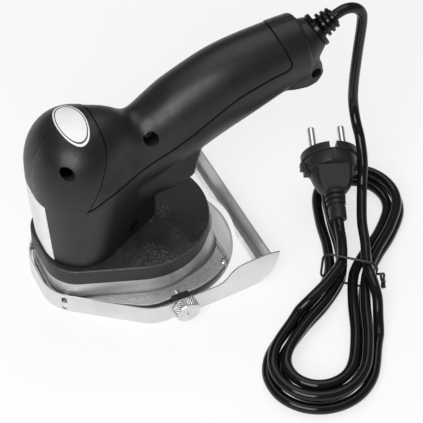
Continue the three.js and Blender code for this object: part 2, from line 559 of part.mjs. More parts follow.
// Place on the hank after t loops from the waist: it spirals in, climbs a layer and spirals out
function hankAt(t) {
  let s = (t - Math.floor(t)) * LOOP;
  const draw = CORD_PITCH * (0.25 + Math.abs(2 - t));
  const lobe = HANK_LOBE + draw;
  const z = LAYER_Z + LAYER_UP * ease((t - 1.86) / 0.2);
  const drawn = (a) => draw + HANK_LOBE * ease(a < 0 ? -a / HANK_LOW : a / HANK_HIGH);
  if (s < LEGS[0]) return hankPoint(-s, -drawn(-s), z);
  s -= LEGS[0];
  if (s < LEGS[1]) return hankPoint(-HANK_LOW - lobe * Math.sin(s / MEAN), -lobe * Math.cos(s / MEAN), z);
  s -= LEGS[1];
  if (s < LEGS[2] + LEGS[3]) return hankPoint(s - HANK_LOW, drawn(s - HANK_LOW), z);
  s -= LEGS[2] + LEGS[3];
  if (s < LEGS[4]) return hankPoint(HANK_HIGH + lobe * Math.sin(s / MEAN), lobe * Math.cos(s / MEAN), z);
  s -= LEGS[4];
  return hankPoint(HANK_HIGH - s, -drawn(HANK_HIGH - s), z);
}

// Round tube along points, one ring of sides at each
function tube(points, sides) {
  const across = new THREE.Vector3(0, 1, 0);
  return loft(points.map((p, i) => {
    const ahead = points[Math.min(i + 1, points.length - 1)];
    const d = ahead.clone().sub(points[Math.max(i - 1, 0)]).normalize();
    across.addScaledVector(d, -across.dot(d)).normalize();
    const rise = new THREE.Vector3().crossVectors(d, across);
    return Array.from({ length: sides }, (_, j) => {
      const a = 2 * Math.PI * (j + 0.5) / sides;
      const out = across.clone().multiplyScalar(Math.cos(a)).addScaledVector(rise, Math.sin(a));
      return p.clone().addScaledVector(out, CORD_R);
    });
  }));
}

// Hank from the end of the lead to the start of the tail, 24 steps to a loop
const hankSteps = [];
for (let turn = 0; turn < 4; turn++) {
  let from = 0;
  LEGS.forEach((leg, i) => {
    for (let k = 0; k < LEG_STEPS[i]; k++) hankSteps.push(turn + (from + leg * k / LEG_STEPS[i]) / LOOP);
    from += leg;
  });
}
const FIRST_STEP = 2;
const LAST_STEP = 3 * 24 + 10;
const hankPoints = hankSteps.slice(FIRST_STEP, LAST_STEP + 1).map(hankAt);
node('cord_hank', tube(hankPoints, 6), RUBBER);

// Least gap between turns of the hank, away from each point's own neighbours
let leastGap = Infinity;
hankPoints.forEach((p, i) => hankPoints.slice(1).forEach((end, j) => {
  if (Math.abs(i - j) < 6) return;
  const near = new THREE.Line3(hankPoints[j], end).closestPointToPoint(p, true, new THREE.Vector3());
  leastGap = Math.min(leastGap, near.distanceTo(p) - 2 * CORD_R);
}));
console.log('least gap between the turns of the hank, mm:', leastGap.toFixed(2));

function smooth(points, count) {
  return new THREE.CatmullRomCurve3(points, false, 'centripetal').getSpacedPoints(count);
}

// Lead from the boot in an arch, down over the hank, through the tie and into its first run
const archStart = nozzleAt(BOOT_L + GAP + 1.5);
const archMid = new THREE.Vector3(
  archStart.x + ARCH_R * Math.sin(NOZZLE_UP), 0, archStart.z - ARCH_R * Math.cos(NOZZLE_UP));
const leadPoints = [nozzleAt(BOOT_L + GAP), archStart];
for (let i = 1; i <= 5; i++) {
  const a = (Math.PI / 2 + NOZZLE_UP) * (1 - i / 5);
  leadPoints.push(archMid.clone().add(new THREE.Vector3(ARCH_R * Math.cos(a), 0, ARCH_R * Math.sin(a))));
}
const fall = [
  [134.7, 0, 108], [135, 0, 84], [135.4, -1.5, 69], [134.6, -8, 59],
  [132.7, -17.9, 52.6], [130.7, -27, 41.4], [126.8, -35, 30],
];
const overHank = [
  [33.5, -2, 22], [18, -5.5, 20.5], [0, -9.2, 19.8], [-7, -13, 19.6], [-17, -19, 15.2], [-27, -22.8, 8.9],
];
leadPoints.push(...fall.map((at) => new THREE.Vector3(...at)), ...overHank.map((at) => hankPoint(...at)));
const inDir = hankPoints[1].clone().sub(hankPoints[0]).normalize();
leadPoints.push(...[9, 4.5, GAP].map((back) => hankPoints[0].clone().addScaledVector(inDir, -back)));
node('cord_lead', tube(smooth(leadPoints, 40), 8), RUBBER);

// Plug on top of the hank with two round pins
const plugAt = hankPoint(30.5, 12.3, 21.8);
const plugDir = new THREE.Vector3().setFromSphericalCoords(1, radians(73.5), radians(69.5));
plugDir.set(plugDir.z, plugDir.x, plugDir.y);
const plug = placed(plugAt, plugDir);
const PLUG_L = 46;
const PLUG_R = 18.2;
const SLEEVE_RIBS = 3;
const plugProfile = [[0, 0], [CORD_R + 1.4, 0], [5.6, 1], [5.6, 8]];
for (let i = 0; i < SLEEVE_RIBS; i++) {
  const z = 8.8 + 3.3 * i;
  plugProfile.push([4.7, z], [4.7, z + 1.1], [5.9 + 0.3 * i, z + 1.3], [6.1 + 0.3 * i, z + 3.1]);
}
plugProfile.push([7.4, 19.2], [11.2, 26], [15.8, 37.4], [PLUG_R, 38.4], [PLUG_R, PLUG_L], [0, PLUG_L]);
let plugBody = turned(plugProfile, 18);
const pinFoot = PLUG_L - 7;
for (const s of Object.values(SIDES)) {
  const notch = [Math.min(s * (PLUG_R - 2), s * 30), Math.max(s * (PLUG_R - 2), s * 30)];
  plugBody = plugBody.subtract(rod(PIN_R + GAP, pinFoot, 90, 0, s * PIN_SPAN / 2, 12))
    .subtract(box(...notch, -3, 3, PLUG_L - 7.5, 90));
}
node('plug_body', plugBody, RUBBER, plug);
for (const [side, s] of Object.entries(SIDES)) {
  node('plug_pin_' + side, rod(PIN_R, pinFoot + GAP, PLUG_L + 17, 0, s * PIN_SPAN / 2, 12)
    .add(rod(PIN_R, PLUG_L + 16.9, PLUG_L + 19, 0, s * PIN_SPAN / 2, 12, PIN_R / 2)), STEEL, plug);
}

// Tail of the lead from the hank over the tie to the plug
const hankEnd = hankPoints[hankPoints.length - 1];
const outDir = hankEnd.clone().sub(hankPoints[hankPoints.length - 2]).normalize();
const tailPoints = [
  ...[GAP, 4.5, 9].map((on) => hankEnd.clone().addScaledVector(outDir, on)),
  ...[[-30, 17.6, 16.8], [-15, 10.6, 19.6], [0, 6.8, 20], [15, 8.6, 20]].map((at) => hankPoint(...at)),
  plugAt.clone().addScaledVector(plugDir, -2 * CORD_R), plugAt.clone().addScaledVector(plugDir, -GAP),
];
node('cord_tail', tube(smooth(tailPoints, 14), 8), RUBBER);

// Flat tie round the waist of the hank, its end turned out on the floor: outlines by height and v
const TIE_T = 1;
const TIE_HALF = 0.9;
const TIE_V = [-9.6, 12.4];
const TIE_Z = [6.4, 19];
const byHeight = (list) => list.map(([z, across, r]) => [-z, across, r]);
const tieHull = (r) => hull(byHeight(TIE_Z.flatMap((z) => TIE_V.map((across) => [z, across, r]))), 20);
const tieEnd = [[4, -14.8], [1.4, -16], [1.2, -24], [0.3, -24], [0.4, -16], [3, -14]];
node('cord_tie', prism(tieHull(5 + TIE_T), -TIE_HALF, TIE_HALF).subtract(prism(tieHull(5), -5, 5))
  .add(prism(pts(byHeight(tieEnd)), -TIE_HALF, TIE_HALF)), RUBBER, placed(HANK_AT, u));

// Origin under the middle of the machine, its lead left out
machine.updateMatrixWorld(true);
const bounds = new THREE.Box3();
machine.traverse((piece) => {
  if (piece.isMesh && !/^(cord|plug)_/.test(piece.name)) bounds.expandByObject(piece, true);
});
machine.position.set(-(bounds.min.x + bounds.max.x) / 2, 0, -bounds.min.z);
console.log('blade axis at x, mm:', machine.position.x.toFixed(3), 'height', bounds.max.z.toFixed(2));

export default machine;
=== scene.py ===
# Looks of the electric kebab slicer. Shapes are drawn in millimetres about the blade's axis, with
# +X to the tail of the handle and +Z up, and placed in the frame in metres.
import json
import math

import bmesh
import bpy
from mathutils import Matrix, Vector
from mathutils.bvhtree import BVHTree


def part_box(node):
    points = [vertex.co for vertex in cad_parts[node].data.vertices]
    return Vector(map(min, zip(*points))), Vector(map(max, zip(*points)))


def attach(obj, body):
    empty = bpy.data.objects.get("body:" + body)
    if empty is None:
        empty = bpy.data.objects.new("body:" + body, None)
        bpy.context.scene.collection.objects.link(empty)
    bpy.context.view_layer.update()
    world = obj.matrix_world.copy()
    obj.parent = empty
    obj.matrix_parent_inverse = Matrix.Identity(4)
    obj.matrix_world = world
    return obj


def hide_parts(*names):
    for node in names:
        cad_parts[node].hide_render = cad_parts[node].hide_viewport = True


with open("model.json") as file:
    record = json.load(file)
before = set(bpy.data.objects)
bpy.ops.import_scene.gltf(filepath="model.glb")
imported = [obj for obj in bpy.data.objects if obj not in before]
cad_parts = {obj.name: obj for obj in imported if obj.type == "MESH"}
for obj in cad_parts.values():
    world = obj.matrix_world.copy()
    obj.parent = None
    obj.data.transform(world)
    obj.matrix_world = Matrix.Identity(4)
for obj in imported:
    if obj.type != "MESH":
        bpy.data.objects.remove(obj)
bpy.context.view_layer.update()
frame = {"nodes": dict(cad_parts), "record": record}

MM = 0.001
BLADE_LOW, BLADE_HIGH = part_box("blade")
AXIS_X = (BLADE_LOW.x + BLADE_HIGH.x) / 2
PLACE = Matrix.Translation((AXIS_X, 0, 0)) @ Matrix.Scale(MM, 4)
BLADE_R = (BLADE_HIGH.x - BLADE_LOW.x) / 2 / MM

# Sizes of the machine, millimetres
GAP = 0.3
WALL = 2.6
MOTOR_X = -46.25
FLANGE_Z = 5.6
FLANGE_TOP = 8.8
FLANGE_REAR = 0.676 * BLADE_R
CASE_FLOOR = 12.3
PLATE_Z = 24
PLATE_TOP = 35
BODY_Z = PLATE_TOP + GAP
HEAD_Z = 92
HEAD_RISE = 35
BAND_H = 14
BAND_T = 0.8
BAND_HALF = BLADE_R + 7.8
STUD_X = -6
STUD_Z = 8.6
STUD_R = 2
KNOB_R = 7.8
KNOB_L = 6.5
BOOT_L = 14
CORD_R = 3.2
CORD_PITCH = 7.6
CORD_IN_BOOT = 2
SIDES = {"left": -1, "right": 1}

# Ends of cutters that pass right through, millimetres
THROUGH = 60
ABOVE = 200
AHEAD = -120
BEHIND = 160

# Camera of the photograph
CAMERA_AT = Vector((-0.2672, -0.5333, 0.6905))
CAMERA_TURN = [math.radians(a) for a in (-28.33, 48.29, 2.47)]
CAMERA_LENS = 124.1
CAMERA_SENSOR = 36
CAMERA_NEAR = 0.01

# Shapes
EDGE_STEPS = 4


def mix(a, b, t):
    return a + (b - a) * t


def ease(t):
    t = min(1, max(0, t))
    return t * t * (3 - 2 * t)


def span(s, a, b):
    """Ends of a stretch from a to b on the side s, the lower one first."""
    return sorted((s * a, s * b))


def grown(discs, by):
    return [(x, y, r + by) for x, y, r in discs]


def hull(discs, count):
    """Outline round discs (x, y, r), one point for each direction."""
    out = []
    for i in range(count):
        a = 2 * math.pi * (i + 0.5) / count
        c, s = math.cos(a), math.sin(a)
        x, y, r = max(discs, key=lambda d: d[0] * c + d[1] * s + d[2])
        out.append((x + r * c, y + r * s))
    return out


def spline(points, steps):
    """Smooth curve through points, with so many steps from each to the next."""
    p = [Vector(q) for q in points]
    p = [2 * p[0] - p[1], *p, 2 * p[-1] - p[-2]]
    out = []
    for a, b, c, d in zip(p, p[1:], p[2:], p[3:]):
        ab, bc, cd = ((n - m).length ** 0.5 for m, n in ((a, b), (b, c), (c, d)))
        leave = ((b - a) / ab - (c - a) / (ab + bc) + (c - b) / bc) * bc
        reach = ((c - b) / bc - (d - b) / (bc + cd) + (d - c) / cd) * bc
        for i in range(steps):
            t = i / steps
            bend = (3 * (c - b) - 2 * leave - reach) * t**2 + (leave + reach - 2 * (c - b)) * t**3
            out.append(b + leave * t + bend)
    return [*out, p[-2]]


def loft(rings, capped=True):
    """Skin through rings of points: (points, faces)."""
    n = len(rings[0])
    points = [Vector(p) for ring in rings for p in ring]
    faces = []
    for k in range(len(rings) - 1 if capped else len(rings)):
        low, high = k * n, (k + 1) % len(rings) * n
        faces += [(low + j, low + (j + 1) % n, high + (j + 1) % n, high + j) for j in range(n)]
    if capped:
        last = (len(rings) - 1) * n
        faces += [tuple(reversed(range(n))), tuple(range(last, last + n))]
    return points, faces


def flat(outline, z):
    return [(x, y, z) for x, y in outline]


def upright(outline, z0, z1):
    """Prism of an outline drawn from above."""
    return loft([flat(outline, z) for z in (z0, z1)])


def circle(r, z, sides, x=0, y=0):
    turns = [2 * math.pi * j / sides for j in range(sides)]
    return [(x + r * math.cos(a), y + r * math.sin(a), z) for a in turns]


def stacked(profile, sides, y=0):
    """Closed piece about an upright line, with a profile of (radius, z) pairs from end to end."""
    return loft([circle(r, z, sides, 0, y) for r, z in profile])


def turned(profile, sides=64):
    """Turned piece about Z with a profile of (radius, z) pairs that closes on itself."""
    return loft([circle(r, z, sides) for r, z in profile], capped=False)


def rod(r, z0, z1, x=0, y=0, sides=40):
    return loft([circle(r, z0, sides, x, y), circle(r, z1, sides, x, y)])


def slab(discs, z0, z1, edge, count=160):
    """Plate with the outline of discs and a rounded top edge."""
    rings = [flat(hull(discs, count), z0)]
    for k in range(EDGE_STEPS + 1):
        a = math.pi / 2 * k / EDGE_STEPS
        inset = edge * (1 - math.cos(a))
        rings.append(flat(hull(grown(discs, -inset), count), z1 - edge * (1 - math.sin(a))))
    return loft(rings)


def moved(shape, matrix):
    return [matrix @ p for p in shape[0]], shape[1]


def side_prism(outline, y0, y1, edge=0):
    """Prism of an outline drawn in side view (x, z)."""
    if not edge:
        return loft([[(x, y, z) for x, z in outline] for y in (y1, y0)])
    middle = Vector((sum(x for x, z in outline), sum(z for x, z in outline))) / len(outline)
    inner = [Vector(p) + (middle - Vector(p)).normalized() * edge for p in outline]
    rings = [(inner, y1), (outline, y1 - edge), (outline, y0 + edge), (inner, y0)]
    return loft([[(x, y, z) for x, z in ring] for ring, y in rings])


def cross_rod(r, y0, y1, x, z, sides=40):
    """Rod along Y."""
    lying = Matrix.Translation((x, 0, z)) @ Matrix.Rotation(-math.pi / 2, 4, "X")
    return moved(rod(r, y0, y1, 0, 0, sides), lying)


def box(x0, x1, y0, y1, z0, z1):
    return loft([[(x0, y0, z), (x1, y0, z), (x1, y1, z), (x0, y1, z)] for z in (z0, z1)])


def pointing(at, along):
    """Matrix to a point, with the Z axis along a direction and a level Y axis."""
    along = Vector(along).normalized()
    level = Vector((-along.y, along.x, 0)).normalized()
    across = level.cross(along)
    turn = Matrix((across, level, along)).transposed().to_4x4()
    return Matrix.Translation(at) @ turn


def strut(a, b, ra, rb, sides=40):
    """Round bar from a to b, with a radius at each end."""
    a, b = Vector(a), Vector(b)
    return moved(stacked([(ra, 0), (rb, (b - a).length)], sides), pointing(a, b - a))


# Making of objects


def given(made, settings):
    """Gives a thing its settings."""
    for key, value in settings.items():
        setattr(made, key, value)
    return made


def placed(name, data):
    """New object in the scene."""
    obj = bpy.data.objects.new(name, data)
    bpy.context.scene.collection.objects.link(obj)
    return obj


def solid(name, *shapes):
    """Object in the frame from shapes drawn in millimetres about the blade's axis."""
    points, faces = [], []
    for some, around in shapes:
        faces += [tuple(i + len(points) for i in face) for face in around]
        points += some
    mesh = bpy.data.meshes.new(name)
    mesh.from_pydata([PLACE @ Vector(p) for p in points], [], faces)
    return placed(name, mesh)


def modify(obj, kind, **settings):
    """Adds a modifier."""
    given(obj.modifiers.new(kind.lower(), kind), settings)
    return obj


def settle(obj):
    """Applies the modifiers of an object."""
    bpy.context.view_layer.update()
    shaped = obj.evaluated_get(bpy.context.evaluated_depsgraph_get())
    mesh = bpy.data.meshes.new_from_object(shaped)
    obj.modifiers.clear()
    obj.data = mesh
    return obj


def outward(obj):
    """Turns the faces of closed shells outward."""
    work = bmesh.new()
    work.from_mesh(obj.data)
    bmesh.ops.recalc_face_normals(work, faces=work.faces)
    work.to_mesh(obj.data)
    work.free()
    return obj


def combine(obj, other, keep):
    """Joins another object to this one, or cuts with it, and removes the other."""
    settle(modify(obj, "BOOLEAN", operation=keep, solver="MANIFOLD", object=other))
    bpy.data.objects.remove(other)
    return obj


def cut(obj, *shapes, keep="DIFFERENCE"):
    """Cuts shapes out of an object, adds them with UNION or keeps the overlap with INTERSECT."""
    for shape in shapes:
        combine(obj, outward(solid("cutter", shape)), keep)
    return obj


def add(obj, *shapes):
    return cut(obj, *shapes, keep="UNION")


def rounded(obj, width):
    """Rounds the sharp edges of an object."""
    return settle(modify(obj, "BEVEL", width=width * MM, segments=3, limit_method="ANGLE"))


def tube(name, points, radius, fineness=6):
    """Curve of one open spline through points in millimetres."""
    data = bpy.data.curves.new(name, "CURVE")
    data.dimensions = "3D"
    data.bevel_depth = radius * MM
    data.bevel_resolution = fineness
    data.use_fill_caps = True
    line = data.splines.new("POLY")
    line.points.add(len(points) - 1)
    for point, at in zip(line.points, points):
        point.co = (*(PLACE @ Vector(at)), 1)
    line.use_smooth = True
    return placed(name, data)


# Finishes
NOISE_LOW = 0.3
NOISE_HIGH = 0.7


def grey(v, warm=0.0):
    return (v * (1 + warm), v, v * (1 - warm))


class Finish:
    """Node material built step by step: colour, roughness and bump from procedural textures."""

    def __init__(self, name, metal=0.0, specular=0.5):
        self.material = bpy.data.materials.new(name)
        self.material.use_nodes = True
        self.nodes = self.material.node_tree.nodes
        self.links = self.material.node_tree.links
        self.shader = self.nodes["Principled BSDF"]
        self.feed(self.shader, {"Metallic": metal, "Specular IOR Level": specular})
        self.place = self.node("ShaderNodeTexCoord").outputs["Object"]

    def feed(self, node, inputs):
        """Gives inputs of a node a value each, or a link from a socket."""
        for key, value in inputs.items():
            if isinstance(value, bpy.types.NodeSocket):
                self.links.new(value, node.inputs[key])
            else:
                node.inputs[key].default_value = value
        return node

    def node(self, kind, inputs=None, **settings):
        return self.feed(given(self.nodes.new(kind), settings), inputs or {})

    def vector(self, operation, *terms):
        """Vector operation on a socket, and on a second socket or a fixed vector."""
        made = self.node("ShaderNodeVectorMath", dict(enumerate(terms)), operation=operation)
        return made.outputs["Value" if operation == "LENGTH" else "Vector"]

    def joined(self, operation, first, *others):
        """Sum or product of sockets and numbers, kept between 0 and 1."""
        for other in others:
            made = self.node("ShaderNodeMath", {0: first, 1: other}, operation=operation, use_clamp=True)
            first = made.outputs[0]
        return first

    def noise(self, scale, detail=3, rough=0.55, place=None):
        """Noise with features of a size given in millimetres."""
        inputs = {"Scale": 1 / (scale * MM), "Detail": detail, "Roughness": rough}
        inputs["Vector"] = self.place if place is None else place
        return self.node("ShaderNodeTexNoise", inputs).outputs["Fac"]

    def stretched(self, scale):
        """Places with each axis scaled, or as they are."""
        return self.vector("MULTIPLY", self.place, scale) if scale else self.place

    def cells(self, scale):
        made = self.node("ShaderNodeTexVoronoi", {"Scale": 1 / (scale * MM), "Vector": self.place})
        return made.outputs["Distance"]

    def ring_noise(self, scale, stretch):
        """Noise that runs in circles round the blade's axis."""
        apart = self.vector("SUBTRACT", self.place, (AXIS_X, 0, 0))
        reach = self.vector("LENGTH", self.vector("MULTIPLY", apart, (1, 1, 0)))
        radial = self.node("ShaderNodeCombineXYZ", {"X": reach}).outputs[0]
        wide = self.vector("MULTIPLY", apart, (stretch, stretch, stretch))
        return self.noise(scale, 4, 0.5, self.vector("ADD", radial, wide))

    def ramp(self, value, stops):
        made = self.node("ShaderNodeValToRGB", {"Fac": value})
        elements = made.color_ramp.elements
        while len(elements) < len(stops):
            elements.new(0.5)
        for element, (at, colour) in zip(elements, stops):
            element.position = at
            element.color = (*colour, 1)
        return made.outputs["Color"]

    def shades(self, value, low, high, warm=0.0):
        """Greys from low to high over the middle of a noise."""
        return self.ramp(value, [(NOISE_LOW, grey(low, warm)), (NOISE_HIGH, grey(high, warm))])

    def mapped(self, value, start, end, low=0.0, high=1.0):
        """Runs from low at the start to high at the end, and stays level beyond them."""
        inputs = {"Value": value, "From Min": start, "From Max": end, "To Min": low, "To Max": high}
        return self.node("ShaderNodeMapRange", inputs).outputs["Result"]

    def upward(self, source):
        """Third part of a place or of a normal."""
        return self.node("ShaderNodeSeparateXYZ", {0: source}).outputs["Z"]

    def tilt(self):
        """1 on faces that look up, 0 on upright ones."""
        return self.upward(self.node("ShaderNodeTexCoord").outputs["Normal"])

    def over(self, below, above, share):
        """Share of one colour over another."""
        made = self.node("ShaderNodeMix", {"Factor": share, "A": below, "B": above}, data_type="RGBA")
        return made.outputs["Result"]

    def colour(self, value):
        self.feed(self.shader, {"Base Color": value})
        return self

    def rough(self, value, low, high):
        self.feed(self.shader, {"Roughness": self.mapped(value, NOISE_LOW, NOISE_HIGH, low, high)})
        return self

    def bump(self, value, height):
        """Relief of a height in millimetres, on top of any before it."""
        made = self.node("ShaderNodeBump", {"Distance": height * MM, "Strength": 1, "Height": value})
        for before in self.shader.inputs["Normal"].links:
            self.feed(made, {"Normal": before.from_socket})
        self.feed(self.shader, {"Normal": made.outputs["Normal"]})
        return self


def plain(name, low, high, rough, metal=0.0, size=6, relief=0.01, stretch=None, warm=0.0, specular=0.5):
    """Finish of one stuff: a little variation in colour and roughness, and a fine relief."""
    made = Finish(name, metal, specular)
    broad = made.noise(size, 4)
    fine = made.noise(size / 12, 2, place=made.stretched(stretch))
    made.colour(made.shades(broad, low, high, warm))
    made.rough(fine, *rough)
    return made.bump(fine, relief)


def housing_finish():
    made = plain("satin_black_moulding", 0.006, 0.012, (0.34, 0.46), size=30, relief=0.0, specular=0.42)
    return made.bump(made.noise(0.35, 2), 0.012).material


def plate_finish():
    """Black coat with light specks painted on patches of its top as glints, and a lighter line painted along
    its rounded edge as a highlight.
    """
    made = Finish("black_coat_painted_glints")
    wide = made.noise(14, 3)
    tilt = made.tilt()
    # Painted glints: light specks in patches on the top face stand in for the light that its grain catches.
    painted_glints = made.ramp(made.cells(0.95), [(0.16, grey(0.26)), (0.3, grey(0.016))])
    patch = made.mapped(made.noise(24, 2), 0.46, 0.6)
    where = made.joined("MULTIPLY", patch, made.mapped(tilt, 0.8, 0.95))
    coat = made.over(made.shades(wide, 0.012, 0.018), painted_glints, where)
    # Painted highlight: a lighter line along the rounded top edge, where the light would catch it.
    painted_edge_highlight = made.ramp(made.noise(2.5, 3), [(0.35, grey(0.03)), (0.65, grey(0.075))])
    edge = made.joined("MULTIPLY", made.mapped(tilt, 0.3, 0.5), made.mapped(tilt, 0.95, 0.85))
    made.colour(made.over(coat, painted_edge_highlight, edge))
    made.rough(wide, 0.42, 0.55)
    return made.bump(made.noise(0.6, 3), 0.07).material


def cast_finish():
    """Alloy as it was cast, grainy on top of the flange, with painted shade at the foot of its wall and on
    the upright side of its flange.
    """
    made = Finish("rough_casting", metal=1.0)
    grain = made.noise(0.9, 3)
    tilt = made.tilt()
    height = made.upward(made.place)

    def rise(start, end):
        return made.mapped(height, (FLANGE_TOP + start) * MM, (FLANGE_TOP + end) * MM)

    smooth = made.shades(made.noise(16, 3), 0.6, 0.8, 0.01)
    coarse = made.ramp(grain, [(0.36, grey(0.44)), (0.64, grey(0.7))])
    # Painted shade: the upright side of the flange, below its top, is painted near black.
    edge = made.joined("MULTIPLY", made.mapped(tilt, 0.4, 0.2), rise(0.4, 0))
    # Painted shade: the foot of the wall, just above the flange, is darkened as if in shade.
    fillet = made.joined("MULTIPLY", made.mapped(tilt, 0.98, 0.85), rise(0.7, 1), rise(4.6, 1.6))
    top = made.over(smooth, coarse, made.mapped(tilt, 0.9, 0.98))
    shaded_fillet = made.over(top, made.shades(grain, 0.16, 0.3), fillet)
    made.colour(made.over(shaded_fillet, made.shades(grain, 0.05, 0.1), edge))
    made.rough(grain, 0.46, 0.62)
    return made.bump(grain, 0.16).material


def blade_finish():
    made = Finish("ground_steel", metal=1.0)
    lines = made.ring_noise(0.25, 0.02)
    made.colour(made.shades(made.noise(30, 2), 0.84, 0.92, 0.02))
    made.rough(lines, 0.42, 0.55)
    return made.bump(lines, 0.006).material


def sheet_finish():
    """Sheet steel brushed along its length."""
    made = Finish("brushed_sheet", metal=1.0)
    lines = made.noise(0.4, 3, place=made.stretched((0.08, 0.08, 1)))
    made.colour(made.shades(made.noise(25, 3), 0.7, 0.82))
    made.rough(lines, 0.3, 0.42)
    return made.bump(lines, 0.006).material


OVAL_X = -48.8
OVAL_WIDE = 8.4
OVAL_LONG = 16.8
OVAL_LINE = [(0.855, grey(0.0)), (0.87, grey(1.0)), (0.915, grey(1.0)), (0.93, grey(0.0))]


def oval_finish():
    """White plate with a dark line inside its edge."""
    made = plain("bare_oval", 0.78, 0.86, (0.4, 0.5), size=8, relief=0.004, specular=0.3)
    apart = made.vector("SUBTRACT", made.place, PLACE @ Vector((OVAL_X, 0, 0)))
    unit = made.vector("MULTIPLY", apart, (1 / (OVAL_WIDE * MM), 1 / (OVAL_LONG * MM), 0))
    line = made.ramp(made.vector("LENGTH", unit), OVAL_LINE)
    white = made.shader.inputs["Base Color"].links[0].from_socket
    black = made.shades(made.noise(3), 0.02, 0.03)
    return made.colour(made.over(white, black, line)).material


FINISHES = {
    "housing_black": housing_finish(),
    "plate_black": plate_finish(),
    "cast_alloy": cast_finish(),
    "blade_steel": blade_finish(),
    "gauge_steel": sheet_finish(),
    "knob_steel": plain("bright_steel", 0.66, 0.78, (0.26, 0.36), metal=1.0, relief=0.004).material,
    "screw_steel": plain("zinc_steel", 0.16, 0.24, (0.35, 0.5), metal=1.0).material,
    "bearing_steel": plain("bearing_steel", 0.45, 0.55, (0.2, 0.3), metal=1.0).material,
    "motor_iron": plain(
        "laminated_iron", 0.16, 0.24, (0.4, 0.6), metal=1.0, stretch=(0.1, 0.1, 3),
    ).material,
    "winding_copper": plain("enamelled_copper", 0.3, 0.4, (0.25, 0.4), metal=1.0, warm=0.6).material,
    "carbon": plain("carbon", 0.03, 0.05, (0.5, 0.7)).material,
    "nylon": plain("moulded_nylon", 0.03, 0.045, (0.4, 0.5)).material,
    "switch_black": plain("switch_moulding", 0.014, 0.02, (0.36, 0.46), specular=0.36).material,
    "cord_rubber": plain(
        "cord_sheath", 0.004, 0.007, (0.09, 0.15), size=12, relief=0.0, specular=0.3,
    ).material,
    "tie_black": plain("tie_sheath", 0.01, 0.016, (0.35, 0.45)).material,
    "pin_nickel": plain("nickel_plate", 0.6, 0.7, (0.18, 0.3), metal=1.0, warm=0.04).material,
    "label": plain("bare_label", 0.78, 0.86, (0.35, 0.45), size=8, relief=0.004).material,
    "oval": oval_finish(),
}

# Dressing of pieces
CREASE = 32
FINE_CREASE = 40
CAD_CREASE = 30


def coat(obj, look, crease):
    """Gives an object its finish, and smooth shading up to edges as sharp as the crease."""
    obj.data.materials.clear()
    obj.data.materials.append(look)
    if obj.type == "MESH":
        obj.data.shade_smooth()
        obj.data.set_sharp_from_angle(angle=math.radians(crease))


def dress(obj, finish, body="body", nodes=(), crease=CREASE, slot=None):
    """Gives a piece its finish and its body, and hides the CAD nodes that it stands for. The slot is not
    used.
    """
    coat(obj, FINISHES[finish], crease)
    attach(obj, body)
    if nodes:
        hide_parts(*nodes)
    return obj


def part(obj, slot, **settings):
    """Dresses a piece in the finish of its slot."""
    return dress(obj, slot, slot=slot, **settings)


# Camera


def camera():
    data = bpy.data.cameras.new("camera")
    data.lens = CAMERA_LENS
    data.sensor_width = CAMERA_SENSOR
    data.clip_start = CAMERA_NEAR
    obj = placed("camera", data)
    azimuth, elevation, roll = CAMERA_TURN
    turn = Matrix.Rotation(azimuth, 4, "Z") @ Matrix.Rotation(math.pi / 2 - elevation, 4, "X")
    obj.matrix_world = Matrix.Translation(CAMERA_AT) @ turn @ Matrix.Rotation(roll, 4, "Z")
    bpy.context.scene.camera = obj


camera()

# Mains lead
NOZZLE_UP = math.radians(30)
NOZZLE_DIR = Vector((math.cos(NOZZLE_UP), 0, math.sin(NOZZLE_UP)))
NOZZLE_END = Vector((103, 0, 137))
ARCH_R = 12
ARCH_STEPS = 5
ARCH_OFF_BOOT = 1.5
HANK_AT = Vector((94.6, -80.5, 0))
HANK_TURN = math.radians(50)
HANK_U = Vector((math.cos(HANK_TURN), math.sin(HANK_TURN), 0))
HANK_V = Vector((-math.sin(HANK_TURN), math.cos(HANK_TURN), 0))
HANK_LOW = 68
HANK_HIGH = 63
HANK_LOBE = 15
HANK_LEAN = 8
HANK_WAIST = 0.35
HANK_LOOPS = 4
HANK_INSIDE = 0.25
CLIMB_FROM = 1.86
CLIMB_OVER = 0.2
LAYER_Z = CORD_R + 1.6
LAYER_UP = CORD_PITCH - 0.3
MEAN = CORD_PITCH * 1.1 + HANK_LOBE
LEGS = [HANK_LOW, math.pi * MEAN, HANK_LOW, HANK_HIGH, math.pi * MEAN, HANK_HIGH]
LEG_STEPS = [3, 6, 3, 3, 6, 3]
FIRST_STEP = 2
LAST_STEP = 3 * sum(LEG_STEPS) + 10
ROUTE_STEPS = 6
ENDS_ON = (4.5, 9)
FALL = [
    (134.7, 0, 108), (135, 0, 84), (135.4, -1.5, 69), (134.6, -8, 59),
    (132.7, -17.9, 52.6), (130.7, -27, 41.4), (126.8, -35, 30),
]
OVER_HANK = [
    (33.5, -2, 22), (18, -5.5, 20.5), (0, -9.2, 19.8), (-7, -13, 19.6), (-17, -19, 15.2), (-27, -22.8, 8.9),
]
TO_PLUG = [(-30, 17.6, 16.8), (-15, 10.6, 19.6), (0, 6.8, 20), (15, 8.6, 20)]
PLUG_TILT = math.radians(16.5)
PLUG_TURN = math.radians(69.5)
PLUG_DIR = Vector((
    math.cos(PLUG_TILT) * math.cos(PLUG_TURN),
    math.cos(PLUG_TILT) * math.sin(PLUG_TURN),
    math.sin(PLUG_TILT),
))


def hank_point(a, b, z):
    """Point at a along the hank, b across it and z above the floor."""
    lean = HANK_LEAN * (math.hypot(a / HANK_LOW, HANK_WAIST) - HANK_WAIST)
    at = HANK_AT + HANK_U * a + HANK_V * (b + lean)
    return Vector((at.x, at.y, z))


PLUG_AT = hank_point(30.5, 12.3, 21.8)


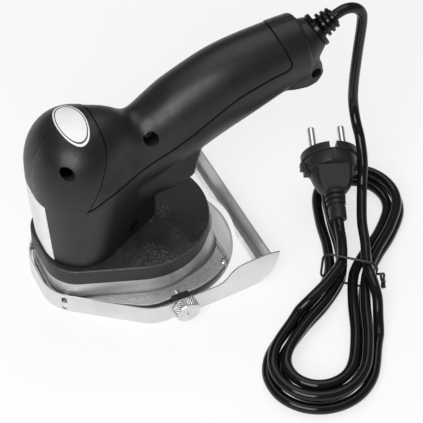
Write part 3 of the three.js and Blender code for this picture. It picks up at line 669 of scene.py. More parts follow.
def hank_at(t):
    """Place on the hank after t loops from the waist: it spirals in, climbs a layer and spirals out."""
    s = (t - math.floor(t)) * sum(LEGS)
    draw = CORD_PITCH * (HANK_INSIDE + abs(HANK_LOOPS / 2 - t))
    lobe = HANK_LOBE + draw
    z = LAYER_Z + LAYER_UP * ease((t - CLIMB_FROM) / CLIMB_OVER)

    def drawn(a):
        return draw + HANK_LOBE * ease(-a / HANK_LOW if a < 0 else a / HANK_HIGH)

    if s < LEGS[0]:
        return hank_point(-s, -drawn(-s), z)
    s -= LEGS[0]
    if s < LEGS[1]:
        return hank_point(-HANK_LOW - lobe * math.sin(s / MEAN), -lobe * math.cos(s / MEAN), z)
    s -= LEGS[1]
    if s < LEGS[2] + LEGS[3]:
        return hank_point(s - HANK_LOW, drawn(s - HANK_LOW), z)
    s -= LEGS[2] + LEGS[3]
    if s < LEGS[4]:
        return hank_point(HANK_HIGH + lobe * math.sin(s / MEAN), lobe * math.cos(s / MEAN), z)
    s -= LEGS[4]
    return hank_point(HANK_HIGH - s, -drawn(HANK_HIGH - s), z)


def hank_points():
    steps = []
    for loop in range(HANK_LOOPS):
        gone = 0
        for leg, count in zip(LEGS, LEG_STEPS):
            steps += [loop + (gone + leg * k / count) / sum(LEGS) for k in range(count)]
            gone += leg
    return [hank_at(t) for t in steps[FIRST_STEP : LAST_STEP + 1]]


def cord_route():
    """Line of the cord: from the boot in an arch, down over the hank, round the hank and to the plug."""
    start = NOZZLE_END + NOZZLE_DIR * (BOOT_L + GAP + ARCH_OFF_BOOT)
    middle = start + Vector((math.sin(NOZZLE_UP), 0, -math.cos(NOZZLE_UP))) * ARCH_R
    arch = [(math.pi / 2 + NOZZLE_UP) * (1 - i / ARCH_STEPS) for i in range(1, ARCH_STEPS + 1)]
    points = [NOZZLE_END + NOZZLE_DIR * (BOOT_L - CORD_IN_BOOT), start]
    points += [middle + Vector((math.cos(a), 0, math.sin(a))) * ARCH_R for a in arch]
    points += [Vector(at) for at in FALL]
    points += [hank_point(*at) for at in OVER_HANK]
    hank = hank_points()
    into = (hank[1] - hank[0]).normalized()
    points += [hank[0] - into * back for back in reversed(ENDS_ON)]
    points += hank
    out = (hank[-1] - hank[-2]).normalized()
    points += [hank[-1] + out * on for on in ENDS_ON]
    points += [hank_point(*at) for at in TO_PLUG]
    points += [PLUG_AT - PLUG_DIR * 2 * CORD_R, PLUG_AT + PLUG_DIR * 2]
    return spline(points, ROUTE_STEPS)


route = cord_route()
lead = tube("mains_lead", route, CORD_R)
part(lead, "cord_rubber", nodes=["cord_lead", "cord_hank", "cord_tail"])

# Plug with its sleeve, grip and collar
PLUG_L = 46
PLUG_R = 18.2
PLUG_CLEAR = 30
PLUG_FRAME = pointing(PLUG_AT, PLUG_DIR)
SLEEVE = [(4.6, 0), (5.3, 0.4), (5.6, 8), (5.4, 8.4)]
SLEEVE_SLOTS = 3
SLOT_Z = 8.8
SLOT_PITCH = 3.3
SLOT_R = 4.7
GRIP = [
    (8.4, 19.2), (10.6, 22), (12.4, 26), (14, 31),
    (14.8, 33.3), (15.6, 33.6), (16.4, 36), (16.8, 40.9),
]
RIM = [(17.8, PLUG_L - 4.9), (PLUG_R, PLUG_L - 4.5), (PLUG_R, PLUG_L - 0.5), (17.7, PLUG_L)]
GRIP_FLAT = [(5.4, 19.4), (PLUG_CLEAR, 19.4), (PLUG_CLEAR, 33.4), (11.4, 33.4)]
FLAT_HALF = 20
KEYWAY_DEPTH = 9
KEYWAY_HALF = 2.3
KEYWAY_Z = (41, 90)
GRIP_RIDGE_HALF = 1.1
GRIP_RIDGE_X = (10, 17.4)
GRIP_RIDGE_Z = (33.8, 41.4)
PAD_HALF = 2.6
PADS = [(12, 19.4, 35.4, 39.6), (12, 17.6, 31.6, 36)]
PIN_SPAN = 19
PIN = [(2.4, 39.3), (2.4, 63.4), (2.2, 64.3), (1.7, 64.8), (0.8, 65)]


def plug():
    """Sleeve with slots, grip with a flat on its top and bottom, neck and rim with a keyway in each."""
    profile = [*SLEEVE]
    for i in range(SLEEVE_SLOTS):
        z = SLOT_Z + SLOT_PITCH * i
        profile += [(SLOT_R, z), (SLOT_R, z + 1.1), (5.9 + 0.3 * i, z + 1.3), (6.1 + 0.3 * i, z + 3.1)]
    body = solid("plug", moved(stacked(profile + GRIP + RIM, 64), PLUG_FRAME))
    for s in SIDES.values():
        beside = loft([[(s * x, y, z) for x, z in GRIP_FLAT] for y in (-FLAT_HALF, FLAT_HALF)])
        keyway = box(*span(s, PLUG_R - KEYWAY_DEPTH, PLUG_CLEAR), -KEYWAY_HALF, KEYWAY_HALF, *KEYWAY_Z)
        cut(body, moved(beside, PLUG_FRAME), moved(keyway, PLUG_FRAME))
        ridge = box(*span(s, *GRIP_RIDGE_X), -GRIP_RIDGE_HALF, GRIP_RIDGE_HALF, *GRIP_RIDGE_Z)
        add(body, moved(ridge, PLUG_FRAME))
        for y0, y1, z0, z1 in PADS:
            add(body, moved(box(-PAD_HALF, PAD_HALF, *span(s, y0, y1), z0, z1), PLUG_FRAME))
    return body


plug_piece = part(plug(), "switch_black", nodes=["plug_body"])
for side, s in SIDES.items():
    pin = solid("plug_contact_" + side, moved(stacked(PIN, 32, s * PIN_SPAN / 2), PLUG_FRAME))
    part(pin, "pin_nickel", nodes=["plug_pin_" + side])

# Twist tie
TIE_R = 0.75
TIE_BEND = 5.5
TIE_STEPS = 48
TIE_Z = (6.4, 19)
TIE_V = (-9.6, 12.4)
TWIST = [
    (0, -15.2, 15),
    (-1, -18, 17.2), (1.2, -19.6, 15), (-1.2, -20.1, 12), (1.2, -20.6, 9), (-1, -21.1, 6), (1, -21.5, 3.6),
    (-0.6, -20, 4.6), (1, -19.4, 8), (-1, -18.9, 11.5), (0.6, -17.8, 14.4),
]


def tie_route():
    """Wire round the waist of the hank, in the plane across it, with its twisted end hanging down."""
    loop = hull([(-z, v, TIE_BEND) for z in TIE_Z for v in TIE_V], TIE_STEPS)
    first = min(range(TIE_STEPS), key=lambda i: loop[i][1])
    around = [hank_point(0, v, -z) for z, v in loop[first:] + loop[:first]]
    return around + [hank_point(*at) for at in spline(TWIST, 5)]


tie = tube("twist_tie", tie_route(), TIE_R, 4)
part(tie, "tie_black", nodes=["cord_tie"])

# Column of the moulded housing, with sizes at its foot and at its head
FRONT_X = (-48.8, -48)
FRONT_Y = (5.5, 4.5)
FRONT_R = (22.8, 27.2)
REAR_X = (-9, -27)
REAR_R = (10, 20)
COLUMN_WALL = [(60, 0.5, 0.03), (69, 0.68, 0.2), (77, 0.84, 0.75), (HEAD_Z - 6, 1, 1)]
DOME_BACK = 8
DOME_END = math.radians(86)
DOME_POWER = 0.78


def column_outline(front, rear, close, inset, count):
    """Outline of the column, from 0 at the foot to 1 at the head, drawn in by the dome's closing."""
    back = (mix(*REAR_X, rear) - DOME_BACK * (1 - close), 0, mix(*REAR_R, rear) * close - inset)
    x = mix(*FRONT_X, front)
    y = mix(*FRONT_Y, front) * close
    r = mix(*FRONT_R, front) * close - inset
    return hull([back, (x, -y, r), (x, y, r)], count)


def column_rings(inset, count, steps):
    """Rings of the column and the dome of its head, inset from the outside."""
    rings = []
    foot = BODY_Z - (1 if inset else 0)
    for z, front, rear in spline([(foot, 0, 0), *COLUMN_WALL], steps // 4):
        outline = column_outline(min(1, front), min(1, max(0, rear)), 1, inset, count)
        rings.append(flat(outline, z))
    for i in range(steps + 1):
        a = DOME_END * i / steps
        outline = column_outline(1, 1, math.cos(a) ** DOME_POWER, inset, count)
        rings.append(flat(outline, HEAD_Z + (HEAD_RISE - inset) * math.sin(a)))
    return rings


# Handle of the housing
HANDLE_LINE = [(-36, 75), (-12, 89.5), (11, 102.6), (27, 111), (43, 118), (62, 124), (81, 128.6), (99, 131)]
HANDLE_HIGH = (26.5, 21)
HANDLE_WIDE = (21.3, 18)
ROOT_TAPER = 4.5
ROOT_SHARE = 0.36
TAIL_FROM = 0.55
TAIL_SHARE = 0.45
TAIL_END = 93.5


def handle_rings(inset, count, steps):
    """Rings of the handle across its line, inset from the outside, up to the flat end of the tail."""
    line = spline([(x, 0, z) for x, z in HANDLE_LINE], steps)
    turns = [2 * math.pi * j / count for j in range(count)]
    rings = []
    for i, at in enumerate(line):
        if at.x > TAIL_END - inset:
            break
        t = i / (len(line) - 1)
        ahead = line[min(i + 1, len(line) - 1)] - line[max(i - 1, 0)]
        ahead.normalize()
        up = Vector((-ahead.z, 0, ahead.x))
        tail = ease((t - TAIL_FROM) / TAIL_SHARE)
        root = ROOT_TAPER * ease((ROOT_SHARE - t) / ROOT_SHARE)
        high = mix(*HANDLE_HIGH, tail) - root - inset
        wide = mix(*HANDLE_WIDE, tail) - root - inset
        rings.append([at + up * high * math.sin(a) + Vector((0, wide * math.cos(a), 0)) for a in turns])
    return rings


# Heel, lug and nozzle of the housing, its seams and its screws
HEEL = [(-16, 55), (-5, 57), (16.5, 63.2), (22.5, 67), (25.2, 82), (28, 96), (-16, 96)]
HEEL_HALF = 15
LUG = [
    (64, 114), (84, 107.5), (94, 106.2), (101, 108.8),
    (104.6, 114.4), (102.8, 122), (97, 133), (76, 133),
]
LUG_HALF = 14.5
BLOCK_EDGE = 3
NOZZLE_L = 13
NOZZLE_R = (16.3, 10.2)
CORD_HOLE_R = CORD_R + 2
CORD_HOLE_IN = 24
CORD_HOLE_OUT = 4
VOXEL = 0.9
SKIN_ROUNDS = 6
BLEND_ROUNDS = 340
BLEND_RISE = 1.4
BLENDS = [
    ((-19, 0, 119), 28), ((-10, 0, 119), 26),
    *(((-18, -s * 16, 108), 26) for s in SIDES.values()),
    *(((-14, -s * 20, 92), 22) for s in SIDES.values()),
    *(((-8, -s * 15, 64), 16) for s in SIDES.values()),
]
SEAM_FRONT = [(-36.5, 135), (-36.2, 118), (-40.5, 109.5), (-52.5, 86.8)]
SEAM_LOW = [
    (-52.5, 86.8), (-40, 91.5), (-20, 88.5), (-4, 96.1),
    (20, 110.9), (43, 124.4), (64, 130.3), (75.5, 132),
]
SEAM_TAIL = [(77.8, 133.4), (78.2, 135.6), (66.7, 165), (-25, 165)]
SEAM_STEPS = 8
SEAM_GAP = 0.9
COVER_STEP = 0.45
TONGUE_STEP = 1.9
TONGUE_GAP = 0.1
SWITCH_POCKET = (1.7, 40, -6.8, 6.8, 66.2, 80.3)
SCREWS = {"head": (-61, 112.4, -13), "foot": (-19, 43.2, -9), "tail": (97.6, 118.4, -6)}
COVER_SCREW = (-7.4, 109.5, -8.2)
HOLE_R = {"head": 3.5, "foot": 3.6, "tail": 3.4, "cover": 4.2}
SHANK_HOLE_R = 1.9
SHANK_HOLE_END = 13
SCREW = [(1.6, -12), (1.6, 0), (3.1, 0), (3.1, 1.6), (2.8, 2.1), (2.1, 2.4)]
CROSS_LONG = 1.8
CROSS_WIDE = 0.45
CROSS_FLOOR = 0.9
SCREW_LIFT = 0.1


def seam_outline(gap):
    """Outline of the cover in side view, widened by a gap."""
    outline = spline(SEAM_FRONT, SEAM_STEPS)[:-1] + spline(SEAM_LOW, SEAM_STEPS)
    outline += [Vector(p) for p in SEAM_TAIL]
    out = []
    for before, at, after in zip([outline[-1], *outline], outline, [*outline[1:], outline[0]]):
        u = (at - before).normalized()
        v = (after - at).normalized()
        out.append(at + Vector((u.y + v.y, -u.x - v.x)) * (gap / (1 + u.dot(v))))
    return out


def seam_prism(gap):
    return side_prism(seam_outline(gap), -THROUGH, THROUGH)


def screw_hole(name, x, z, seat):
    """Recess for the head of a screw, and a hole for its shank."""
    recess = cross_rod(HOLE_R[name], -THROUGH, seat, x, z)
    return [recess, cross_rod(SHANK_HOLE_R, seat - 1, SHANK_HOLE_END, x, z)]


def screw(name, x, z, seat):
    """Screw with a cross in its head."""
    at = pointing((x, seat - SCREW_LIFT, z), (0, -1, 0))
    obj = outward(solid("screw_with_cross_" + name, moved(stacked(SCREW, 48), at)))
    for long, wide in ((CROSS_LONG, CROSS_WIDE), (CROSS_WIDE, CROSS_LONG)):
        cut(obj, moved(box(-long, long, -wide, wide, CROSS_FLOOR, 4), at))
    return part(obj, "screw_steel", nodes=["screw_" + name])


def blended(obj, balls, rounds):
    """Smooths a skin, most of all in balls round its inner corners."""
    group = obj.vertex_groups.new(name="blend")
    for vertex in obj.data.vertices:
        at = PLACE.inverted() @ vertex.co
        share = max(ease(BLEND_RISE * (1 - (at - Vector(c)).length / r)) for c, r in balls)
        group.add([vertex.index], share, "REPLACE")
    for count, name in ((SKIN_ROUNDS, ""), (rounds, "blend")):
        modify(obj, "SMOOTH", factor=0.5, iterations=count, vertex_group=name)
    return settle(obj)


def housing_skin():
    """Outside of the whole housing as one skin."""
    lug = side_prism(LUG, -LUG_HALF, LUG_HALF, BLOCK_EDGE)
    heel = side_prism(HEEL, -HEEL_HALF, HEEL_HALF, BLOCK_EDGE)
    nozzle = strut(NOZZLE_END - NOZZLE_DIR * NOZZLE_L, NOZZLE_END, *NOZZLE_R, 64)
    column = loft(column_rings(0, 96, 16))
    handle = loft(handle_rings(0, 64, 8))
    whole = outward(solid("skin", column, handle, heel, lug, nozzle))
    modify(whole, "REMESH", mode="VOXEL", voxel_size=VOXEL * MM)
    return blended(settle(whole), BLENDS, BLEND_ROUNDS)


def hollow_copy(skin, name, step):
    """Wall of the housing, with its outside a step below the skin."""
    wall = placed(name, skin.data.copy())
    settle(modify(wall, "DISPLACE", strength=-step * MM, mid_level=0))
    return cut(wall, loft(column_rings(WALL, 48, 8)), loft(handle_rings(WALL, 40, 4)))


def handle_cover(skin):
    """Upper cover, with a tongue all round that closes the seam from below."""
    cover = hollow_copy(skin, "upper_handle_cover", COVER_STEP)
    cut(cover, seam_prism(0), keep="INTERSECT")
    tongue = hollow_copy(skin, "tongue", TONGUE_STEP)
    cut(tongue, seam_prism(SEAM_GAP - TONGUE_GAP), keep="INTERSECT")
    combine(cover, tongue, "UNION")
    cut(cover, *screw_hole("cover", *COVER_SCREW))
    return part(cover, "housing_black", nodes=["handle_cover"])


def housing_shell(skin):
    """Both halves in one, with the openings for the cover, the switch, the cord and the screws."""
    shell = hollow_copy(skin, "housing_shell", 0)
    cut(shell, seam_prism(SEAM_GAP), box(*SWITCH_POCKET))
    inner = NOZZLE_END - NOZZLE_DIR * CORD_HOLE_IN
    cut(shell, strut(inner, NOZZLE_END + NOZZLE_DIR * CORD_HOLE_OUT, CORD_HOLE_R, CORD_HOLE_R))
    for name, at in SCREWS.items():
        cut(shell, *screw_hole(name, *at))
    return shell


skin = housing_skin()
handle_cover(skin)
shell = housing_shell(skin)
for name, at in {"cover": COVER_SCREW, **SCREWS}.items():
    screw(name, *at)
for side, s in SIDES.items():
    half = placed("body_half_" + side, shell.data.copy())
    cut(half, box(AHEAD, BEHIND, *span(s, GAP / 2, THROUGH), 0, ABOVE), keep="INTERSECT")
    part(half, "housing_black", nodes=["housing_" + side])
bpy.data.objects.remove(shell)

# Bare oval plate on the head and bare label on the column, laid on the skin
STICKER_T = 0.5
OVAL_RINGS = (0.02, 0.25, 0.5, 0.75, 0.9, 1)
LABEL_Y = (-15, 13)
LABEL_Z = (36.4, 83)
LABEL_STEPS = 16
skin_tree = BVHTree.FromObject(skin, bpy.context.evaluated_depsgraph_get())


def on_skin(at, along):
    return PLACE.inverted() @ skin_tree.ray_cast(PLACE @ Vector(at), Vector(along))[0]


def sticker(name, points, faces, finish):
    """Thin plate with its middle on the skin."""
    obj = modify(solid(name, (points, faces)), "SOLIDIFY", thickness=STICKER_T * MM, offset=0)
    return dress(outward(settle(obj)), finish)


def oval_ring(size):
    turns = circle(size, 0, 96)
    return [on_skin((OVAL_X + OVAL_WIDE * c, OVAL_LONG * s, ABOVE), (0, 0, -1)) for c, s, _ in turns]


def oval_plate():
    points, faces = loft([oval_ring(size) for size in OVAL_RINGS])
    return sticker("oval_plate", points, faces[:-1], "oval")


def front_label():
    steps = [i / LABEL_STEPS for i in range(LABEL_STEPS + 1)]
    row = len(steps)
    spots = [(AHEAD, mix(*LABEL_Y, across), mix(*LABEL_Z, up)) for up in steps for across in steps]
    starts = [i for i in range(LABEL_STEPS * row) if i % row < LABEL_STEPS]
    faces = [(i, i + row, i + row + 1, i + 1) for i in starts]
    return sticker("front_label", [on_skin(at, (1, 0, 0)) for at in spots], faces, "label")


oval_plate()
front_label()
bpy.data.objects.remove(skin)

# Gear cover plate and cast gear case
NOSE_X = MOTOR_X - 4.75
NOSE_Y = 7
NOSE_R = 25.5
NOSE_TURN = math.radians(135)
PLATE = [(-10.5, 0, BLADE_R - 6), (NOSE_X - 1, 9, 21.6), (NOSE_X - 1, -9, 21.6)]
FLANGE = [
    (0, 0, BLADE_R + 0.3), (-18, BLADE_R - 24, 24.6), (-18, 24 - BLADE_R, 24.6),
    (NOSE_X - 1, 9, 21.4), (NOSE_X - 1, -9, 21.4),
]
FLANGE_LIP = 0.7
CASE_SLOPE = [(FLANGE_Z + 1, 9), (9.2, 9.5), (10.4, 11), (13, 12.8), (17.5, 14), (PLATE_Z - GAP, 14)]
RIDGE = [(-2.6, -1), (0, -1), (0, 0.9), (-0.5, 1.4), (-1.8, 1.4), (-2.6, 0.4)]
RIDGE_LONG = 36
GEAR_ROOM = [(0, 0, 34.75), (MOTOR_X, 0, 16)]
PIN_Z = FLANGE_Z + 2.2
GUIDE_R = 1.5
GUIDE_BOSS_R = 3.6
GUIDE_FROM = 15
GUARD_X = FLANGE_REAR - 3.8
GUARD_Y = math.sqrt((BLADE_R - 1.3) ** 2 - GUARD_X**2)
GUARD_R = 1.5
GUARD_HEAD_R = 2.2
SPINDLE_BORE = 9.3
SPINDLE_DEEP = 7.2
BEARING_BORE = 8.3
BEARING_DEEP = 7
SHAFT_BORE = 4.4
CASE_CLEAR = 40
PLATE_EDGE = 1.2
FLANGE_EDGE = 0.5
LIP_WIDE = 1.6
WALL_INSET = 1.5
BLOCK_HALF = 5.5
BLOCK_TOP = STUD_Z + 3.4


def nose_at(s, reach):
    """Place on the line of a guide pin, so far out from the middle of the nose's curve."""
    turn = s * NOSE_TURN
    return Vector((NOSE_X + reach * math.cos(turn), s * NOSE_Y + reach * math.sin(turn), PIN_Z))


def gear_cover():
    plate = solid("gear_cover", slab(PLATE, PLATE_Z, PLATE_TOP, PLATE_EDGE))
    bearing = rod(BEARING_BORE, PLATE_TOP - BEARING_DEEP, THROUGH, MOTOR_X)
    shaft = rod(SHAFT_BORE, 0, THROUGH, MOTOR_X)
    return cut(plate, bearing, shaft, rod(SPINDLE_BORE, 0, PLATE_Z + SPINDLE_DEEP))


def gear_case():
    """Casting: flange with a lip, wall with a fillet, ridge along the rear edge and bosses for the pins."""
    case = solid("gear_casting", slab(FLANGE, FLANGE_Z, FLANGE_TOP + FLANGE_LIP, FLANGE_EDGE))
    cut(case, upright(hull(grown(FLANGE, -LIP_WIDE), 160), FLANGE_TOP, CASE_CLEAR))
    wall = []
    for z, inset in spline(CASE_SLOPE, 6):
        wall.append(flat(hull([*grown(PLATE, -WALL_INSET), *grown(FLANGE[:3], -inset)], 160), z))
    add(case, loft(wall))
    cut(case, box(FLANGE_REAR, 2 * BLADE_R, -80, 80, 0, 30))
    ridge = [(FLANGE_REAR + x, FLANGE_TOP + z) for x, z in RIDGE]
    add(case, side_prism(ridge, -RIDGE_LONG, RIDGE_LONG))
    for s in SIDES.values():
        boss_end = nose_at(s, NOSE_R - BAND_T - 0.5)
        add(case, strut(nose_at(s, 12), boss_end, GUIDE_BOSS_R, GUIDE_BOSS_R))
        cut(case, strut(nose_at(s, 14), nose_at(s, CASE_CLEAR), GUIDE_R + GAP, GUIDE_R + GAP))
        cut(case, rod(GUARD_R + GAP, 0, 20, GUARD_X, s * GUARD_Y))
    cut(case, box(-100, 0, -THROUGH, THROUGH, 0, FLANGE_Z))
    room = upright(hull(GEAR_ROOM, 96), CASE_FLOOR, CASE_CLEAR)
    return cut(case, room, rod(SPINDLE_BORE, 0, CASE_FLOOR + 1))


def stud_block(side, s):
    """Black block behind a thumb knob, which the knob's stud screws into."""
    across = span(s, BLADE_R + 0.6, BAND_HALF - BAND_T - 0.4)
    shape = box(STUD_X - BLOCK_HALF, STUD_X + BLOCK_HALF, *across, FLANGE_Z + 0.2, BLOCK_TOP)
    block = rounded(outward(solid("stud_block_" + side, shape)), 0.5)
    cut(block, cross_rod(STUD_R + GAP, *span(s, BLADE_R - 4, 2 * BLADE_R), STUD_X, STUD_Z))
    return part(block, "plate_black")


def domed(r, z0, z1, head, at):
    """Pin with a low domed head."""
    dome = [(head, z1 + 0.1), (head, z1 + 0.4), (0.85 * head, z1 + 0.8), (0.5 * head, z1 + 1.1)]
    return moved(stacked([(r, z0), (r, z1), *dome], 48), at)


def guard_pin(side, s):
    at = Matrix.Translation((GUARD_X, s * GUARD_Y, 0))
    shape = domed(GUARD_R, FLANGE_Z + 0.4, FLANGE_TOP + FLANGE_LIP, GUARD_HEAD_R, at)
    return part(solid("corner_pin_" + side, shape), "pin_nickel", nodes=["guard_pin_" + side])


def guide_pin(side, s):
    start = nose_at(s, GUIDE_FROM)
    at = pointing(start, nose_at(s, GUIDE_FROM + 1) - start)
    shape = domed(GUIDE_R, 0, NOSE_R - GUIDE_FROM - 1.2, GUIDE_R, at)
    return part(solid("nose_pin_" + side, shape), "screw_steel", nodes=["guide_pin_" + side])


part(gear_cover(), "plate_black", nodes=["base_plate"])
part(gear_case(), "cast_alloy", nodes=["gear_case"])
for side, s in SIDES.items():
    stud_block(side, s)
    guard_pin(side, s)
    guide_pin(side, s)

# Depth gauge of sheet steel
RUNNER_X = BLADE_R + 12
RUNNER_FROM = 10
RUNNER_IN = 2.4
SHOULDER_X = -17
SHOULDER_R = 25.5
GAUGE_UP = 4.7
GAUGE_DOWN = 2.3
GAUGE_STEPS = 8
WING_TIP = (8.5, BAND_H + 8.6)
WING_TOP = [
    (-33, BAND_H), (-29, BAND_H + 1.5), (-24, BAND_H + 7), (-19, BAND_H + 9.8),
    (-10, BAND_H + 10.6), (2, BAND_H + 10.2), WING_TIP,
]
WING_LOW = [WING_TIP, (6.6, 13), (2, 5.4), (-4, 1.5), (-12, 0)]
BAR_LINE = [(-1.4, 4.4), (1.2, 5), (3.4, 7.2), (4.9, 10.8), (5.8, 15)]
BLADE_CLEAR = 2
BAND_CLEAR = 40


def band_outline(inset, end):
    """Band from above: round the nose, past the shoulders and along the runners, which close in a little."""
    discs = [(NOSE_X, s * NOSE_Y, NOSE_R - inset) for s in SIDES.values()]
    discs += [(SHOULDER_X, s * (BAND_HALF - SHOULDER_R), SHOULDER_R - inset) for s in SIDES.values()]

    def half(x):
        return BAND_HALF - inset - RUNNER_IN * max(0, x - RUNNER_FROM) / (RUNNER_X - RUNNER_FROM)

    nose = [p for p in hull(discs, 240) if p[0] < SHOULDER_X + 0.5]
    start = [(end, half(end)), (RUNNER_FROM, half(RUNNER_FROM))]
    return [*start, *nose, *((x, -y) for x, y in reversed(start))]


def from_edge(points):
    """Curve in side view through points measured from the rear edge of the blade."""
    return spline([(BLADE_R + x, z) for x, z in points], GAUGE_STEPS)


def upright_slot(r, z, at, turn, reach):
    """Slot for a pin, as high as the gauge slides."""
    out = Vector((math.cos(turn), math.sin(turn), 0))
    level = Vector((-out.y, out.x, 0))
    outline = hull([(0, z - GAUGE_UP, r + GAP), (0, z + GAUGE_DOWN, r + GAP)], 32)
    return loft([[Vector((at[0], at[1], b)) + level * a + out * d for a, b in outline] for d in (0, reach)])


def gauge_band():
    front = -2 * BLADE_R
    top, low = from_edge(WING_TOP), from_edge(WING_LOW)
    side_view = [Vector((front, 0)), *reversed(low), *top[-2::-1], Vector((front, BAND_H))]
    band = solid("gauge_strip", upright(band_outline(0, RUNNER_X), -1, BAND_CLEAR))
    cut(band, upright(band_outline(BAND_T, RUNNER_X + 5), -2, BAND_CLEAR + 1))
    cut(band, side_prism(side_view, -2 * BLADE_R, 2 * BLADE_R), keep="INTERSECT")
    for s in SIDES.values():
        stud_at = (STUD_X, s * (BAND_HALF - BAND_T - 3))
        cut(band, upright_slot(GUIDE_R, PIN_Z, nose_at(s, 18), s * NOSE_TURN, 14))
        cut(band, upright_slot(STUD_R, STUD_Z, stud_at, s * math.pi / 2, 8))
    return band


def gauge_bar():
    """Hollow-faced bar between the runners, 1 mm thick and cut clear of the blade."""
    line = from_edge(BAR_LINE)
    ways = [(b - a).normalized() for a, b in zip([line[0], *line], [*line[1:], line[-1]])]
    low = [p + Vector((way.y, -way.x)) for p, way in zip(line, ways)]
    bar = solid("gauge_strip_rear", side_prism([*low, *reversed(line)], -2 * BLADE_R, 2 * BLADE_R))
    cut(bar, upright(band_outline(BAND_T + GAP, RUNNER_X), -2, BAND_CLEAR), keep="INTERSECT")
    return cut(bar, rod(BLADE_R + BLADE_CLEAR, -5, 30, 0, 0, 200))


part(gauge_band(), "gauge_steel", body="gauge", nodes=["gauge_band"])
part(gauge_bar(), "gauge_steel", body="gauge", nodes=["gauge_bar"])

# Thumb knobs with a diamond knurl
KNURLS = 28
KNURL_SIDES = 6 * KNURLS
KNURL_DEPTH = 0.8
KNURL_PITCH = 1.8
KNURL_STEPS = 18
KNURL_Z = (0.5, KNOB_L - 0.7)
KNOB_BACK = [(STUD_R, -11), (STUD_R, 0), (KNOB_R - 1, 0), (KNOB_R - 0.5, 0.4)]
KNOB_FACE = [
    (KNOB_R - 0.5, KNOB_L - 0.6), (KNOB_R - 0.8, KNOB_L - 0.1), (KNOB_R - 1.1, KNOB_L),
    (1.5, KNOB_L), (1.2, KNOB_L - 0.2), (1.1, KNOB_L - 0.9),
]


def knurled(z):
    """Ring of the knob's rim, cut by two sets of slanting grooves."""
    ring = []
    for j in range(KNURL_SIDES):
        turn = j / KNURL_SIDES
        ridge = min(abs(2 * ((KNURLS * turn + s * z / KNURL_PITCH) % 1) - 1) for s in (-1, 1))
        r = KNOB_R - KNURL_DEPTH * (1 - ridge)
        ring.append((r * math.cos(2 * math.pi * turn), r * math.sin(2 * math.pi * turn), z))
    return ring


def thumb_knob(side, s):
    rings = [circle(r, z, KNURL_SIDES) for r, z in KNOB_BACK]
    rings += [knurled(mix(*KNURL_Z, k / KNURL_STEPS)) for k in range(KNURL_STEPS + 1)]
    rings += [circle(r, z, KNURL_SIDES) for r, z in KNOB_FACE]
    at = pointing((STUD_X, s * (BAND_HALF + GAP), STUD_Z), (0, s, 0))
    knob = outward(solid("knurled_knob_" + side, moved(loft(rings), at)))
    nodes = ["thumb_knob_" + side]
    return part(knob, "knob_steel", body="knob_" + side, nodes=nodes, crease=FINE_CREASE)


for side, s in SIDES.items():
    thumb_knob(side, s)

# Strain relief boot with its flange and ribs
BOOT_RIBS = 3
RIB_Z = 4.6
RIB_PITCH = 3.2
BOOT_BORE = 3.5
KEY_HALF = 2.4
WEB_HALF = 1.8
BOOT_ROOT = [
    (BOOT_BORE, -8), (4.8, -8), (4.8, -0.2), (10.3, -0.2),
    (10.7, 0.2), (10.7, 2.2), (10.3, 2.7), (6.6, 2.9),
]


def boot_rib(i):
    """Profile of a rib, each a little smaller than the one before."""
    z = RIB_Z + RIB_PITCH * i
    root, rib = 5.5 - 0.3 * i, 7.7 - 0.5 * i
    edge = [(rib - 0.4, z + 0.1), (rib, z + 0.5), (rib, z + 1.8), (rib - 0.4, z + 2.2)]
    return [(root, z), *edge, (root, z + 2.3)]


def boot():
    """Boot about the cord, with a key on each side of its flange and a web through its ribs."""
    at = pointing(NOZZLE_END, NOZZLE_DIR)
    profile = [*BOOT_ROOT]
    for i in range(BOOT_RIBS):
        profile += boot_rib(i)
    profile += [(4.6, BOOT_L), (BOOT_BORE, BOOT_L)]
    shape = outward(solid("cord_boot", moved(turned(profile), at)))
    for s in SIDES.values():
        key = box(*span(s, 9.6, 12.2), -KEY_HALF, KEY_HALF, 0.6, 2.4)
        web = box(-WEB_HALF, WEB_HALF, *span(s, 4.2, 6), 2.5, 13)
        add(shape, moved(key, at), moved(web, at))
    return shape


part(boot(), "cord_rubber", nodes=["strain_relief"])

# Blade
HUB_Z = 3.4
HUB_TOP = 4.8
EDGE_Z = 0.8
BACK_Z = 2.2
BLADE_BORE = 5.3
BLADE_PROFILE = [
    (BLADE_BORE, HUB_Z), (19, HUB_Z), (21, HUB_Z - 0.4), (25, 1.2), (27, EDGE_Z), (BLADE_R, EDGE_Z),
    (BLADE_R - 3.2, BACK_Z), (27.4, BACK_Z), (25.4, 2.6), (21.4, 4.4), (19.4, HUB_TOP), (BLADE_BORE, HUB_TOP),
]
blade = solid("round_blade", turned(BLADE_PROFILE, 256))
part(blade, "blade_steel", body="blade_body", nodes=["blade"])

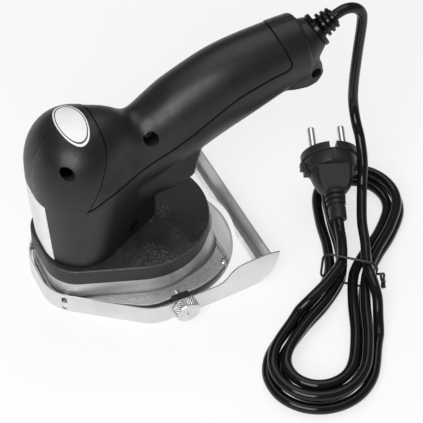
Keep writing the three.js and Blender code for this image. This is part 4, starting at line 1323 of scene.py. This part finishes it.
# Finishes of the nodes that show as they are
SLOT_OF = {row["node"]: row["material_slot"] for row in frame["record"]["subparts"]}
for name, obj in frame["nodes"].items():
    if not obj.hide_render:
        coat(obj, FINISHES[SLOT_OF[name]], CAD_CREASE)

# Floor, light and background, metres and watts
FLOOR_HALF = 30
FLOOR_Z = -0.0002
FLOOR_WHITE = 0.68
WORLD_LIGHT = 0.2
LAMP_AIM = Vector((0, 0, 0.05))
LAMPS = [
    ("key", (-0.65, -0.72, 0.9), 0.8, 13),
    ("top", (0.1, 0.35, 1.5), 1.4, 9),
]


def floor_finish():
    """Pale floor that the camera and mirrors see nearly white, with the shadows that fall on it."""
    made = plain("pale_floor", 0.94, 0.97, (0.6, 0.7), size=200, relief=0.0)
    ray = made.node("ShaderNodeLightPath").outputs
    seen = made.joined("ADD", ray["Is Camera Ray"], ray["Is Glossy Ray"], ray["Is Transmission Ray"])
    share = made.joined("MULTIPLY", seen, FLOOR_WHITE)
    white = made.node("ShaderNodeEmission").outputs["Emission"]
    both = made.node("ShaderNodeMixShader", {0: share, 1: made.shader.outputs["BSDF"], 2: white})
    made.feed(made.nodes["Material Output"], {"Surface": both.outputs["Shader"]})
    return made.material


def lamp(name, at, size, power):
    data = bpy.data.lights.new(name, "AREA")
    data.size = size
    data.energy = power
    light = placed(name, data)
    light.location = at
    light.rotation_euler = (LAMP_AIM - Vector(at)).to_track_quat("-Z", "Y").to_euler()


def studio():
    corners = [(x * FLOOR_HALF, y * FLOOR_HALF) for x, y in ((-1, -1), (1, -1), (1, 1), (-1, 1))]
    floor = bpy.data.meshes.new("floor")
    floor.from_pydata(flat(corners, FLOOR_Z), [], [(0, 1, 2, 3)])
    obj = placed("floor", floor)
    floor.materials.append(floor_finish())
    for settings in LAMPS:
        lamp(*settings)
    world = bpy.data.worlds.new("studio")
    bpy.context.scene.world = world
    world.use_nodes = True
    background = world.node_tree.nodes["Background"]
    background.inputs["Color"].default_value = (1, 1, 1, 1)
    background.inputs["Strength"].default_value = WORLD_LIGHT
    bpy.context.scene.view_settings.view_transform = "Standard"


studio()
